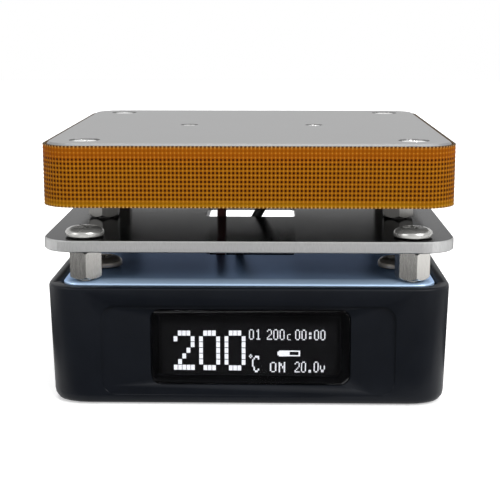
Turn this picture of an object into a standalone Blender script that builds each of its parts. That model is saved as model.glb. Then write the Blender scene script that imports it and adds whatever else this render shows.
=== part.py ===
"""A small bench preheater for circuit boards.

A square hot plate with a woven amber band round its edge stands on four short hex posts above a heat
shield. The shield stands on four hex standoffs above a plastic housing, which holds the display, the
control board, two push buttons and the power socket. Metres, +Z up, front towards -Y, and the origin is
at the middle of the feet's lower faces.
"""

import math

import bmesh
import bpy
from mathutils import Vector, geometry

MM = 0.001

# Clearances between pieces
SEAT_GAP = 0.2 * MM
HOLE_GAP = 0.3 * MM
OVER = 1.0 * MM

# Hot plate
PLATE_WIDTH = 60.0 * MM
PLATE_DEPTH = 60.0 * MM
PLATE_CORNER = 5.0 * MM
FABRIC_THICK = 0.4 * MM
HEAT_PLATE_THICK = 2.0 * MM
HEAT_PLATE_EDGE = 0.3 * MM
CORE_THICK = 5.55 * MM
CORE_INSET = 0.3 * MM
COVER_THICK = 1.2 * MM
CORNER_SCREW_SIDE = 5.95 * MM
CORNER_SCREW_END = 5.8 * MM
CORNER_SCREW_X = PLATE_WIDTH / 2 - CORNER_SCREW_SIDE
CORNER_SCREW_Y = PLATE_DEPTH / 2 - CORNER_SCREW_END
COUNTERSINK_HEAD_RADIUS = 2.1 * MM
COUNTERSINK_HEAD_HEIGHT = 1.2 * MM
SCREW_BELOW_FACE = 0.05 * MM
COVER_WINDOW_WIDTH = 14.8 * MM
COVER_WINDOW_FRONT = -8.5 * MM
COVER_WINDOW_BACK = 3.5 * MM

# Heater, clamp and sensor
HEATER_WIDTH = 18.0 * MM
HEATER_END = 7.0 * MM
HEATER_LENGTH = PLATE_DEPTH - 2 * HEATER_END
HEATER_THICK = 1.2 * MM
HEATER_CORNER = 1.0 * MM
CLAMP_SCREW_SIDE = 1.3 * MM
CLAMP_END = 4.2 * MM
CLAMP_SCREW_X = HEATER_WIDTH / 2 + CLAMP_SCREW_SIDE
CLAMP_LENGTH = 2 * (CLAMP_SCREW_X + CLAMP_END)
CLAMP_WIDTH = 8.0 * MM
CLAMP_THICK = 1.2 * MM
CLAMP_CORNER = 1.5 * MM
CLAMP_SCREW_RADIUS = 0.8 * MM
CLAMP_HEAD_RADIUS = 1.25 * MM
CLAMP_HEAD_HEIGHT = 0.7 * MM
CLAMP_POCKET_BELOW = 1.6 * MM
CLAMP_POCKET_MARGIN = 1.0 * MM
SENSOR_RADIUS = 0.55 * MM
SENSOR_LENGTH = 4.6 * MM
SENSOR_SIDE = 2.9 * MM
SENSOR_X = CLAMP_SCREW_X + SENSOR_SIDE

# Posts, shield and standoffs
THREAD_RADIUS = 1.25 * MM
HEX_ACROSS = 4.6 * MM
HEX_CHAMFER = 0.35 * MM
POST_SIDE = 6.4 * MM
POST_X = PLATE_WIDTH / 2 - POST_SIDE
POST_Y = 8.3 * MM
POST_SPACE = 4.85 * MM
POST_STUD = 1.2 * MM
SHIELD_OVERHANG = 0.15 * MM
SHIELD_WIDTH = PLATE_WIDTH + 2 * SHIELD_OVERHANG
SHIELD_DEPTH = PLATE_DEPTH
SHIELD_THICK = 1.7 * MM
SHIELD_EDGE = 0.15 * MM
STANDOFF_SPACE = 4.6 * MM
STANDOFF_STUD = 1.9 * MM
STANDOFF_TURN = math.radians(9.0)
WINDOW_WIDTH = 14.4 * MM
WINDOW_DEPTH = 16.6 * MM
WINDOW_CORNER = 0.8 * MM
PAN_HEAD_RADIUS = 2.85 * MM
PAN_HEAD_HEIGHT = 1.3 * MM
HIDDEN_HEAD_RADIUS = 2.25 * MM
HIDDEN_HEAD_HEIGHT = 1.3 * MM
SCREW_BITE = 2.0 * MM

# Housing and its top panel
BASE_SET_IN = 1.0 * MM
BASE_WIDTH = PLATE_WIDTH - 2 * BASE_SET_IN
BASE_DEPTH = PLATE_DEPTH
BASE_CORNER = 5.0 * MM
BASE_DRAFT = 0.5 * MM
BASE_BOTTOM_EDGE = 1.0 * MM
RIM_EDGE = 0.35 * MM
RIM_WALL = 1.75 * MM
PANEL_GROOVE = 0.45 * MM
PANEL_THICK = 2.0 * MM
PANEL_PROUD = 0.6 * MM
PANEL_EDGE = 0.2 * MM
WALL = 2.6 * MM
FLOOR_THICK = 2.0 * MM
HOUSING_HEIGHT = 17.3 * MM
FOOT_PROUD = 0.6 * MM
FOOT_RADIUS = 3.5 * MM
FOOT_SEAT_DEPTH = 0.8 * MM
FOOT_EDGE = 0.3 * MM
FOOT_INSET = 8.5 * MM
FOOT_X = BASE_WIDTH / 2 - FOOT_INSET
FOOT_Y = BASE_DEPTH / 2 - FOOT_INSET
STANDOFF_SIDE = 4.9 * MM
STANDOFF_END = 4.25 * MM
STANDOFF_X = BASE_WIDTH / 2 - STANDOFF_SIDE
STANDOFF_Y = BASE_DEPTH / 2 - STANDOFF_END
PANEL_SCREW_SIDE = 6.2 * MM
PANEL_SCREW_END = 13.0 * MM
PANEL_SCREW_X = BASE_WIDTH / 2 - PANEL_SCREW_SIDE
PANEL_SCREW_Y = BASE_DEPTH / 2 - PANEL_SCREW_END
PANEL_SCREW_LENGTH = 6.5 * MM
PANEL_HEAD_RADIUS = 3.0 * MM
PANEL_HEAD_HEIGHT = 1.4 * MM
PANEL_BOSS_RADIUS = 3.0 * MM

# Display in the front wall
RECESS_SIDE = 7.4 * MM
RECESS_WIDTH = BASE_WIDTH - 2 * RECESS_SIDE
RECESS_HEIGHT = 13.7 * MM
RECESS_MIDDLE_Z = 8.45 * MM
RECESS_CORNER = 2.2 * MM
RECESS_DEPTH = 0.6 * MM
LENS_WIDTH = 29.0 * MM
LENS_HEIGHT = 11.1 * MM
LENS_CORNER = 1.3 * MM
LENS_THICK = 1.0 * MM
LENS_MIDDLE_Z = 8.9 * MM
LENS_LEDGE = 1.0 * MM
GLASS_WIDTH = 30.0 * MM
GLASS_HEIGHT = 11.5 * MM
GLASS_THICK = 1.4 * MM
DISPLAY_BOARD_SIDE = 4.0 * MM
DISPLAY_BOARD_WIDTH = GLASS_WIDTH + 2 * DISPLAY_BOARD_SIDE
DISPLAY_BOARD_HEIGHT = 12.0 * MM
DISPLAY_BOARD_THICK = 1.2 * MM
RAIL_WALL = 1.2 * MM
RAIL_GRIP = 2.4 * MM
RAIL_HEIGHT = 9.0 * MM

# Control board and what it carries
BOARD_SIDE_ROOM = 10.0 * MM
BOARD_WIDTH = BASE_WIDTH - 2 * BOARD_SIDE_ROOM
BOARD_FRONT_ROOM = 10.0 * MM
BOARD_CORNER = 1.0 * MM
BOARD_THICK = 1.2 * MM
BOARD_BOSS_HEIGHT = 2.0 * MM
BOARD_BOSS_RADIUS = 2.2 * MM
BOARD_PIN_SIDE = 2.8 * MM
BOARD_PIN_FROM_FRONT = 6.5 * MM
BOARD_PIN_FROM_BACK = 11.6 * MM
BOARD_PIN_X = BOARD_WIDTH / 2 - BOARD_PIN_SIDE
BOARD_PIN_RADIUS = 0.9 * MM
STAKE_RADIUS = 1.7 * MM
STAKE_HEIGHT = 0.8 * MM
SOCKET_WIDTH = 8.94 * MM
SOCKET_HEIGHT = 3.26 * MM
SOCKET_CORNER = 0.45 * SOCKET_HEIGHT
SOCKET_LENGTH = 7.4 * MM
SOCKET_WALL = 0.32 * MM
SOCKET_BACK_WALL = 1.2 * MM
TONGUE_WIDTH = 6.7 * MM
TONGUE_THICK = 0.7 * MM
TONGUE_SHORT = 0.6 * MM
TONGUE_CORNER = 0.2 * MM
REAR_RECESS_SIDE = 9.0 * MM
REAR_RECESS_WIDTH = BASE_WIDTH - 2 * REAR_RECESS_SIDE
REAR_RECESS_HEIGHT = 8.0 * MM
REAR_RECESS_DEPTH = 0.9 * MM

# Push buttons and their switches
BUTTON_SIDE = 16.0 * MM
BUTTON_X = BASE_WIDTH / 2 - BUTTON_SIDE
BUTTON_WIDTH = 6.0 * MM
BUTTON_HEIGHT = 3.6 * MM
BUTTON_CORNER = 1.2 * MM
BUTTON_PROUD = 0.6 * MM
BUTTON_TRAVEL = 0.4 * MM
BUTTON_CROWN = 0.25 * MM
BUTTON_FLANGE = 0.7 * MM
BUTTON_FLANGE_THICK = 0.8 * MM
SWITCH_WIDTH = 6.0 * MM
SWITCH_HEIGHT = 4.3 * MM
SWITCH_LENGTH = 3.5 * MM
PLUNGER_RADIUS = 1.0 * MM
PLUNGER_STICKS_OUT = 0.7 * MM
PLUNGER_INSIDE = 1.0 * MM

# Parts on the control board
CHIP_WIDTH = 7.0 * MM
CHIP_HEIGHT = 1.0 * MM
CHIP_SIDE = 10.0 * MM
CHIP_Y = 3.0 * MM
INDUCTOR_WIDTH = 7.0 * MM
INDUCTOR_HEIGHT = 3.4 * MM
INDUCTOR_CORNER = 1.5 * MM
INDUCTOR_SIDE = 7.5 * MM
INDUCTOR_Y = 8.6 * MM
TRANSISTOR_BEFORE_CHIP = 12.0 * MM
TRANSISTOR_WIDTH = 6.4 * MM
TRANSISTOR_DEPTH = 5.6 * MM
TRANSISTOR_HEIGHT = 2.2 * MM
TAB_WIDTH = 5.1 * MM
TAB_STICKS_OUT = 1.4 * MM
TAB_THICK = 0.55 * MM
PACKAGE_CORNER = 0.3 * MM
CAPACITOR_RADIUS = 3.1 * MM
CAPACITOR_HEIGHT = 5.6 * MM
CAPACITOR_BASE = 0.7 * MM
CAPACITOR_GROOVE = 0.35 * MM
CAPACITOR_SIDE = 9.5 * MM
CAPACITOR_BEFORE_CHIP = 15.0 * MM
CAPACITOR_BEHIND_CHIP = 9.0 * MM
TERMINAL_WIDTH = 7.6 * MM
TERMINAL_DEPTH = 6.4 * MM
TERMINAL_HEIGHT = 6.4 * MM
TERMINAL_HOLE_DEPTH = 2.4 * MM
TERMINAL_SCREW_RADIUS = 1.0 * MM
SENSOR_PLUG_WIDTH = 5.0 * MM
SENSOR_PLUG_DEPTH = 3.6 * MM
SENSOR_PLUG_HEIGHT = 3.6 * MM
SENSOR_WAY_DEPTH = 1.6 * MM
HEADER_PINS = 4
HEADER_PITCH = 2.54 * MM
HEADER_DEPTH = 2.4 * MM
HEADER_HEIGHT = 2.3 * MM
HEADER_PIN = 0.64 * MM
HEADER_INSET = 0.4 * MM

# Leads
HEATER_WIRE_RADIUS = 0.75 * MM
SENSOR_WIRE_RADIUS = 0.45 * MM
WIRE_X = 4.8 * MM
WIRE_Y = -5.0 * MM
SENSOR_WIRE_Y = 1.6 * MM
RED_WAY_X = -5.0 * MM
BLACK_WAY_X = -2.0 * MM
LEAD_INSET = 2.4 * MM
LEAD_STRAIGHT = 2.5 * MM
SLANT_TOP_X = 4.4 * MM
SLANT_FOOT_X = -1.6 * MM
SLANT_ABOVE_COVER = 0.8 * MM
SLANT_ABOVE_PANEL = 1.5 * MM
SENSOR_LOOP_Y = 7.2 * MM
SENSOR_LEAD_LIFT = 1.05 * MM
LEAD_STEP = 2.4

# Levels, from the bench up
HOUSING_BOTTOM = FOOT_PROUD
FLOOR_TOP = HOUSING_BOTTOM + FLOOR_THICK
RIM_TOP = HOUSING_BOTTOM + HOUSING_HEIGHT
PANEL_TOP = RIM_TOP + PANEL_PROUD
PANEL_BOTTOM = PANEL_TOP - PANEL_THICK
SHIELD_BOTTOM = PANEL_TOP + STANDOFF_SPACE
SHIELD_TOP = SHIELD_BOTTOM + SHIELD_THICK
COVER_BOTTOM = SHIELD_TOP + POST_SPACE
COVER_TOP = COVER_BOTTOM + COVER_THICK
CORE_BOTTOM = COVER_TOP + SEAT_GAP
CORE_TOP = CORE_BOTTOM + CORE_THICK
HEAT_PLATE_BOTTOM = CORE_TOP + SEAT_GAP
HEAT_PLATE_TOP = HEAT_PLATE_BOTTOM + HEAT_PLATE_THICK
HEATER_TOP = HEAT_PLATE_BOTTOM - SEAT_GAP
HEATER_BOTTOM = HEATER_TOP - HEATER_THICK
CLAMP_TOP = HEATER_BOTTOM - SEAT_GAP
CLAMP_BOTTOM = CLAMP_TOP - CLAMP_THICK
CLAMP_POCKET_BOTTOM = CLAMP_BOTTOM - CLAMP_POCKET_BELOW
BOARD_BOTTOM = FLOOR_TOP + BOARD_BOSS_HEIGHT + SEAT_GAP
BOARD_TOP = BOARD_BOTTOM + BOARD_THICK
ON_BOARD = BOARD_TOP + SEAT_GAP
SOCKET_MIDDLE_Z = ON_BOARD + SOCKET_HEIGHT / 2
BUTTON_Z = ON_BOARD + SWITCH_HEIGHT / 2

# Depths, from front to back
FRONT_FACE = -BASE_DEPTH / 2
BACK_FACE = BASE_DEPTH / 2
RECESS_FLOOR = FRONT_FACE + RECESS_DEPTH
LENS_FRONT = RECESS_FLOOR
LENS_BACK = LENS_FRONT + LENS_THICK
FRONT_WALL_INSIDE = FRONT_FACE + WALL
GLASS_FRONT = FRONT_WALL_INSIDE + SEAT_GAP
GLASS_BACK = GLASS_FRONT + GLASS_THICK
DISPLAY_BOARD_FRONT = GLASS_BACK + SEAT_GAP
DISPLAY_BOARD_BACK = DISPLAY_BOARD_FRONT + DISPLAY_BOARD_THICK
REAR_RECESS_FLOOR = BACK_FACE - REAR_RECESS_DEPTH
BACK_WALL_INSIDE = BACK_FACE - WALL
FLANGE_BACK = BACK_WALL_INSIDE - HOLE_GAP
FLANGE_FRONT = FLANGE_BACK - BUTTON_FLANGE_THICK
PLUNGER_TIP = FLANGE_FRONT - SEAT_GAP
SWITCH_FACE = PLUNGER_TIP - PLUNGER_STICKS_OUT
BOARD_FRONT = FRONT_FACE + BOARD_FRONT_ROOM
BOARD_BACK = FLANGE_FRONT - BUTTON_TRAVEL - HOLE_GAP
BOARD_MIDDLE_Y = (BOARD_FRONT + BOARD_BACK) / 2
BOARD_PIN_FRONT_Y = BOARD_FRONT + BOARD_PIN_FROM_FRONT
BOARD_PIN_BACK_Y = BOARD_BACK - BOARD_PIN_FROM_BACK
SOCKET_MOUTH = REAR_RECESS_FLOOR - SEAT_GAP

# Places on the control board, from its edges
CHIP_X = BOARD_WIDTH / 2 - CHIP_SIDE
INDUCTOR_X = -BOARD_WIDTH / 2 + INDUCTOR_SIDE
TRANSISTOR_X = CHIP_X
TRANSISTOR_Y = CHIP_Y - TRANSISTOR_BEFORE_CHIP
CAPACITOR_X = BOARD_WIDTH / 2 - CAPACITOR_SIDE
CAPACITOR_PLACES = (
    (-CAPACITOR_X, CHIP_Y - CAPACITOR_BEFORE_CHIP),
    (CAPACITOR_X, CHIP_Y + CAPACITOR_BEHIND_CHIP),
)

# Facets round circles and corners
ROUND_SIDES = 16
SMALL_SIDES = 10
HEX_CHAMFER_SIDES = 18
CORNER_STEPS = 6
CORNERS = {"front_left": (-1, -1), "front_right": (1, -1), "rear_left": (-1, 1), "rear_right": (1, 1)}


def clear_scene():
    for item in list(bpy.data.objects):
        bpy.data.objects.remove(item, do_unlink=True)


def finish(name, colour, roughness, metallic=0.0):
    """A Principled material, made once for each name."""
    material = bpy.data.materials.get(name)
    if material is None:
        material = bpy.data.materials.new(name)
        material.use_nodes = True
        shader = material.node_tree.nodes["Principled BSDF"]
        shader.inputs["Base Color"].default_value = (*colour, 1.0)
        shader.inputs["Roughness"].default_value = roughness
        shader.inputs["Metallic"].default_value = metallic
    return material


def four(x, y):
    """The same place in the four quarters, by name."""
    return {name: (sx * x, sy * y) for name, (sx, sy) in CORNERS.items()}


def circle(radius, sides=ROUND_SIDES, middle=(0.0, 0.0), turn=0.0):
    steps = [turn + 2 * math.pi * i / sides for i in range(sides)]
    return [(middle[0] + radius * math.cos(a), middle[1] + radius * math.sin(a)) for a in steps]


def hexagon(across, middle=(0.0, 0.0), turn=0.0):
    """Six corners; with no turn a corner faces the front."""
    return circle(across / math.sqrt(3), 6, middle, turn - math.pi / 2)


def rounded(width, depth, corner, middle=(0.0, 0.0), steps=CORNER_STEPS):
    """A rounded rectangle, anticlockwise, whose corners are limited by its sides."""
    corner = min(corner, 0.49 * width, 0.49 * depth)
    points = []
    for quarter, (sx, sy) in enumerate(((1, 1), (-1, 1), (-1, -1), (1, -1))):
        cx = middle[0] + sx * (width / 2 - corner)
        cy = middle[1] + sy * (depth / 2 - corner)
        for i in range(steps + 1):
            angle = math.pi / 2 * (quarter + i / steps)
            points.append((cx + corner * math.cos(angle), cy + corner * math.sin(angle)))
    return points


def box_outline(low_x, high_x, low_y, high_y):
    return [(low_x, low_y), (high_x, low_y), (high_x, high_y), (low_x, high_y)]


def add_loft(mesh, levels):
    """Adds one closed body through outlines of equal count, each given with its height."""
    rings = [[mesh.verts.new((x, y, z)) for x, y in outline] for outline, z in levels]
    for low, high in zip(rings, rings[1:]):
        for i in range(len(low)):
            j = (i + 1) % len(low)
            mesh.faces.new((low[i], low[j], high[j], high[i]))
    mesh.faces.new(list(reversed(rings[0])))
    mesh.faces.new(rings[-1])


def add_prism(mesh, outline, low, high):
    add_loft(mesh, [(outline, low), (outline, high)])


def add_turned(mesh, profile, middle=(0.0, 0.0), sides=ROUND_SIDES):
    """Adds a turned body from (radius, height) pairs, bottom to top."""
    add_loft(mesh, [(circle(radius, sides, middle), z) for radius, z in profile])


def smooth(item):
    item.data.shade_smooth()
    item.data.set_sharp_from_angle(angle=math.radians(35))


def place(name, mesh, material, location=(0.0, 0.0, 0.0), rotation=(0.0, 0.0, 0.0), parent=None):
    """Makes the object from a bmesh and frees it."""
    data = bpy.data.meshes.new(name)
    mesh.to_mesh(data)
    mesh.free()
    item = bpy.data.objects.new(name, data)
    bpy.context.scene.collection.objects.link(item)
    item.location = location
    item.rotation_euler = rotation
    item.parent = parent
    if material is not None:
        data.materials.append(material)
    smooth(item)
    return item


def helper(name, mesh, location=(0.0, 0.0, 0.0), rotation=(0.0, 0.0, 0.0)):
    """A body that only shapes another one, left out of the model."""
    item = place(name, mesh, None, location, rotation)
    item.hide_render = True
    item.display_type = "WIRE"
    return item


def combine(item, other, operation):
    change = item.modifiers.new(other.name, "BOOLEAN")
    change.operation = operation
    change.object = other


def soften(item, width, segments=1, angle=40.0):
    edge = item.modifiers.new("edges", "BEVEL")
    edge.width = width
    edge.segments = segments
    edge.limit_method = "ANGLE"
    edge.angle_limit = math.radians(angle)
    edge.harden_normals = False


def drill(item, name, bores, sides=SMALL_SIDES):
    """Cuts (middle, radius, low, high) round holes in one go."""
    mesh = bmesh.new()
    for middle, radius, low, high in bores:
        add_turned(mesh, [(radius, low), (radius, high)], middle, sides)
    combine(item, helper(name, mesh), "DIFFERENCE")


def cut_prisms(item, name, prisms, rotation=(0.0, 0.0, 0.0)):
    """Cuts (outline, low, high) prisms in one go."""
    mesh = bmesh.new()
    for outline, low, high in prisms:
        add_prism(mesh, outline, low, high)
    combine(item, helper(name, mesh, rotation=rotation), "DIFFERENCE")


# A body drawn on the X-Z plane: its own Y goes up and its own Z comes forward, or to the back
TO_FRONT = (math.pi / 2, 0.0, 0.0)
TO_BACK = (-math.pi / 2, 0.0, 0.0)


def pan_profile(shank, length, head, height, dome_steps=3):
    """A pan head on a plain shank, with the head's seat at height 0."""
    profile = [(shank * 0.8, -length), (shank, -length + shank * 0.3), (shank, 0.0), (head, 0.0)]
    edge = 0.35 * height
    profile.append((head, edge))
    for i in range(1, dome_steps + 1):
        angle = math.pi / 2 * i / (dome_steps + 0.6)
        profile.append((head * (0.45 + 0.55 * math.cos(angle)), edge + (height - edge) * math.sin(angle)))
    return profile


def countersunk_profile(shank, length, head, height):
    """A countersunk head whose flat top is at height 0."""
    return [
        (shank * 0.8, -length),
        (shank, -length + shank * 0.3),
        (shank, -height),
        (head, -0.15 * height),
        (head, 0.0),
    ]


def fasteners(name, places, seat, profile, material, sides=ROUND_SIDES, upside_down=False):
    """Like screws, one object at each named place."""
    sign = -1.0 if upside_down else 1.0
    ordered = list(reversed(profile)) if upside_down else profile
    for where, middle in places.items():
        mesh = bmesh.new()
        add_turned(mesh, [(radius, sign * z) for radius, z in ordered], sides=sides)
        place(f"{name}_{where}", mesh, material, location=(*middle, seat))


def bolt_places():
    """Where the screws, posts and pins stand, by name."""
    return {
        "posts": four(POST_X, POST_Y),
        "standoffs": four(STANDOFF_X, STANDOFF_Y),
        "panel": four(PANEL_SCREW_X, PANEL_SCREW_Y),
        "corners": four(CORNER_SCREW_X, CORNER_SCREW_Y),
        "clamp": {"left": (-CLAMP_SCREW_X, 0.0), "right": (CLAMP_SCREW_X, 0.0)},
    }


def board_pin_places():
    return [(sx * BOARD_PIN_X, y) for sx in (-1, 1) for y in (BOARD_PIN_FRONT_Y, BOARD_PIN_BACK_Y)]


def window_outline():
    return rounded(WINDOW_WIDTH, WINDOW_DEPTH, WINDOW_CORNER, steps=3)


def cover_window_outline():
    depth = COVER_WINDOW_BACK - COVER_WINDOW_FRONT
    middle = (0.0, (COVER_WINDOW_BACK + COVER_WINDOW_FRONT) / 2)
    return rounded(COVER_WINDOW_WIDTH, depth, WINDOW_CORNER, middle, steps=3)


def build_housing(places):
    """The moulded tub: a drafted shell with a stepped rim, bosses, rails and wall openings."""
    mesh = bmesh.new()
    low_outline = rounded(BASE_WIDTH - 2 * BASE_DRAFT, BASE_DEPTH - 2 * BASE_DRAFT, BASE_CORNER)
    top_outline = rounded(BASE_WIDTH, BASE_DEPTH, BASE_CORNER)
    foot_of_wall = HOUSING_BOTTOM + BASE_BOTTOM_EDGE
    levels = []
    for i in range(4):
        angle = math.pi / 2 * i / 3
        inset = BASE_BOTTOM_EDGE * (1 - math.sin(angle))
        width = BASE_WIDTH - 2 * BASE_DRAFT - 2 * inset
        depth = BASE_DEPTH - 2 * BASE_DRAFT - 2 * inset
        height = foot_of_wall - BASE_BOTTOM_EDGE * math.cos(angle)
        levels.append((rounded(width, depth, BASE_CORNER - inset), height))
    levels[-1] = (low_outline, foot_of_wall)
    levels.append((top_outline, RIM_TOP - RIM_EDGE))
    for part in (0.5, 1.0):
        angle = math.pi / 2 * part
        inset = RIM_EDGE * (1 - math.cos(angle))
        outline = rounded(BASE_WIDTH - 2 * inset, BASE_DEPTH - 2 * inset, BASE_CORNER - inset)
        levels.append((outline, RIM_TOP - RIM_EDGE + RIM_EDGE * math.sin(angle)))
    add_loft(mesh, levels)
    plastic = finish("navy_plastic", (0.010, 0.013, 0.018), 0.42)
    housing = place("base_housing", mesh, plastic)

    ledge = PANEL_BOTTOM - SEAT_GAP
    inner = rounded(BASE_WIDTH - 2 * WALL, BASE_DEPTH - 2 * WALL, BASE_CORNER - WALL)
    cut_prisms(housing, "cavity", [(inner, FLOOR_TOP, RIM_TOP + OVER)])
    rim_inside = rounded(BASE_WIDTH - 2 * RIM_WALL, BASE_DEPTH - 2 * RIM_WALL, BASE_CORNER - RIM_WALL)
    cut_prisms(housing, "panel_seat", [(rim_inside, ledge, RIM_TOP + OVER)])

    add_panel_bosses(housing, places["panel"], ledge)
    add_board_bosses(housing)
    add_display_rails(housing)
    foot_seat = HOUSING_BOTTOM + FOOT_SEAT_DEPTH
    bores = []
    for middle in four(FOOT_X, FOOT_Y).values():
        bores.append((middle, FOOT_RADIUS + HOLE_GAP, HOUSING_BOTTOM - OVER, foot_seat))
    drill(housing, "foot_seats", bores, ROUND_SIDES)
    cut_front_wall(housing)
    cut_rear_wall(housing)
    return housing


def add_panel_bosses(housing, places, ledge):
    """Bosses for the panel's screws, each tied to the side wall by a rib."""
    sunk = FLOOR_TOP - FLOOR_THICK / 2
    for name, middle in places.items():
        mesh = bmesh.new()
        add_turned(mesh, [(PANEL_BOSS_RADIUS, sunk), (PANEL_BOSS_RADIUS, ledge)], middle, SMALL_SIDES)
        combine(housing, helper(f"panel_boss_{name}", mesh), "UNION")
        mesh = bmesh.new()
        wall = math.copysign(BASE_WIDTH / 2 - WALL / 2, middle[0])
        across = sorted((middle[0], wall))
        add_prism(
            mesh,
            box_outline(*across, middle[1] - RAIL_WALL / 2, middle[1] + RAIL_WALL / 2),
            sunk,
            ledge - SEAT_GAP,
        )
        combine(housing, helper(f"boss_rib_{name}", mesh), "UNION")
    low = PANEL_TOP - PANEL_SCREW_LENGTH - OVER
    bore = THREAD_RADIUS + HOLE_GAP
    drill(housing, "panel_screw_bores", [(m, bore, low, RIM_TOP + OVER) for m in places.values()])


def add_board_bosses(housing):
    """Bosses under the control board, with pins whose heads are formed over it."""
    mesh = bmesh.new()
    for middle in board_pin_places():
        profile = [
            (BOARD_BOSS_RADIUS, FLOOR_TOP - FLOOR_THICK / 2),
            (BOARD_BOSS_RADIUS, BOARD_BOTTOM - SEAT_GAP),
            (BOARD_PIN_RADIUS, BOARD_BOTTOM - SEAT_GAP),
            (BOARD_PIN_RADIUS, ON_BOARD),
            (STAKE_RADIUS, ON_BOARD),
            (STAKE_RADIUS * 0.6, ON_BOARD + STAKE_HEIGHT),
        ]
        add_turned(mesh, profile, middle, SMALL_SIDES)
    combine(housing, helper("board_bosses", mesh), "UNION")


def add_display_rails(housing):
    """Two upright channels behind the front wall that take the ends of the display board."""
    half = DISPLAY_BOARD_WIDTH / 2
    slot_front = DISPLAY_BOARD_FRONT - SEAT_GAP
    slot_back = DISPLAY_BOARD_BACK + SEAT_GAP
    blocks = bmesh.new()
    slots = []
    for side in (-1, 1):
        across = sorted((side * (half - RAIL_GRIP), side * (half + HOLE_GAP + RAIL_WALL)))
        outline = box_outline(*across, FRONT_WALL_INSIDE - WALL / 2, slot_back + RAIL_WALL)
        add_prism(blocks, outline, FLOOR_TOP - FLOOR_THICK / 2, FLOOR_TOP + RAIL_HEIGHT)
        cut = sorted((side * (half - RAIL_GRIP - OVER), side * (half + HOLE_GAP)))
        slots.append((box_outline(*cut, slot_front, slot_back), FLOOR_TOP, FLOOR_TOP + RAIL_HEIGHT + OVER))
    combine(housing, helper("display_rails", blocks), "UNION")
    cut_prisms(housing, "display_slots", slots)


def cut_front_wall(housing):
    """A shallow recess, the seat of the lens and a smaller opening behind it."""
    recess = rounded(RECESS_WIDTH, RECESS_HEIGHT, RECESS_CORNER, (0.0, RECESS_MIDDLE_Z), steps=4)
    seat = rounded(
        LENS_WIDTH + 2 * SEAT_GAP,
        LENS_HEIGHT + 2 * SEAT_GAP,
        LENS_CORNER + SEAT_GAP,
        (0.0, LENS_MIDDLE_Z),
        steps=4,
    )
    view = rounded(
        LENS_WIDTH - 2 * LENS_LEDGE,
        LENS_HEIGHT - 2 * LENS_LEDGE,
        LENS_CORNER - LENS_LEDGE / 2,
        (0.0, LENS_MIDDLE_Z),
        steps=4,
    )
    cut_prisms(housing, "front_recess", [(recess, -RECESS_FLOOR, -FRONT_FACE + OVER)], rotation=TO_FRONT)
    cut_prisms(housing, "lens_seat", [(seat, -LENS_BACK - SEAT_GAP, -FRONT_FACE + OVER)], rotation=TO_FRONT)
    cut_prisms(housing, "lens_view", [(view, -FRONT_WALL_INSIDE - OVER, -FRONT_FACE)], rotation=TO_FRONT)


def cut_rear_wall(housing):
    """The recess behind, with the mouth for the power socket and the two button openings."""
    recess = rounded(REAR_RECESS_WIDTH, REAR_RECESS_HEIGHT, RECESS_CORNER, (0.0, -BUTTON_Z), steps=4)
    port = rounded(
        SOCKET_WIDTH + 2 * HOLE_GAP,
        SOCKET_HEIGHT + 2 * HOLE_GAP,
        SOCKET_HEIGHT / 2 + HOLE_GAP,
        (0.0, -SOCKET_MIDDLE_Z),
        steps=4,
    )
    openings = [(port, BACK_WALL_INSIDE - OVER, BACK_FACE)]
    for side in (-1, 1):
        middle = (side * BUTTON_X, -BUTTON_Z)
        width = BUTTON_WIDTH + 2 * HOLE_GAP
        height = BUTTON_HEIGHT + 2 * HOLE_GAP
        opening = rounded(width, height, BUTTON_CORNER + HOLE_GAP, middle, steps=4)
        openings.append((opening, BACK_WALL_INSIDE - OVER, BACK_FACE))
    cut_prisms(housing, "rear_recess", [(recess, REAR_RECESS_FLOOR, BACK_FACE + OVER)], rotation=TO_BACK)
    cut_prisms(housing, "rear_openings", openings, rotation=TO_BACK)


def build_feet():
    rubber = finish("black_rubber", (0.012, 0.012, 0.012), 0.85)
    top = HOUSING_BOTTOM + FOOT_SEAT_DEPTH - SEAT_GAP
    for name, middle in four(FOOT_X, FOOT_Y).items():
        mesh = bmesh.new()
        profile = [(FOOT_RADIUS - FOOT_EDGE, 0.0), (FOOT_RADIUS, FOOT_EDGE), (FOOT_RADIUS, top)]
        add_turned(mesh, profile)
        place(f"rubber_foot_{name}", mesh, rubber, location=(*middle, 0.0))


def build_top_panel(places):
    mesh = bmesh.new()
    inset = RIM_WALL + PANEL_GROOVE
    outline = rounded(BASE_WIDTH - 2 * inset, BASE_DEPTH - 2 * inset, BASE_CORNER - inset)
    add_prism(mesh, outline, PANEL_BOTTOM, PANEL_TOP)
    panel = place("top_panel", mesh, finish("blue_grey_panel", (0.045, 0.068, 0.110), 0.18))
    soften(panel, PANEL_EDGE)
    cut_prisms(panel, "panel_window", [(window_outline(), PANEL_BOTTOM - OVER, PANEL_TOP + OVER)])
    bores = []
    for middle in [*places["panel"].values(), *places["standoffs"].values()]:
        bores.append((middle, THREAD_RADIUS + HOLE_GAP, PANEL_BOTTOM - OVER, PANEL_TOP + OVER))
    drill(panel, "panel_bores", bores)
    return panel


def build_hex(name, middle, low, high, turn, material):
    """A hex bar with turned end chamfers, from low to high."""
    height = high - low
    mesh = bmesh.new()
    add_prism(mesh, hexagon(HEX_ACROSS, turn=turn), 0.0, height)
    item = place(name, mesh, material, location=(*middle, low))
    corner = HEX_ACROSS / math.sqrt(3)
    flat = HEX_ACROSS / 2
    mesh = bmesh.new()
    profile = [(flat, 0.0), (corner, HEX_CHAMFER), (corner, height - HEX_CHAMFER), (flat, height)]
    add_turned(mesh, profile, sides=HEX_CHAMFER_SIDES)
    combine(item, helper(f"{name}_chamfer", mesh, item.location), "INTERSECT")
    return item


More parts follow.
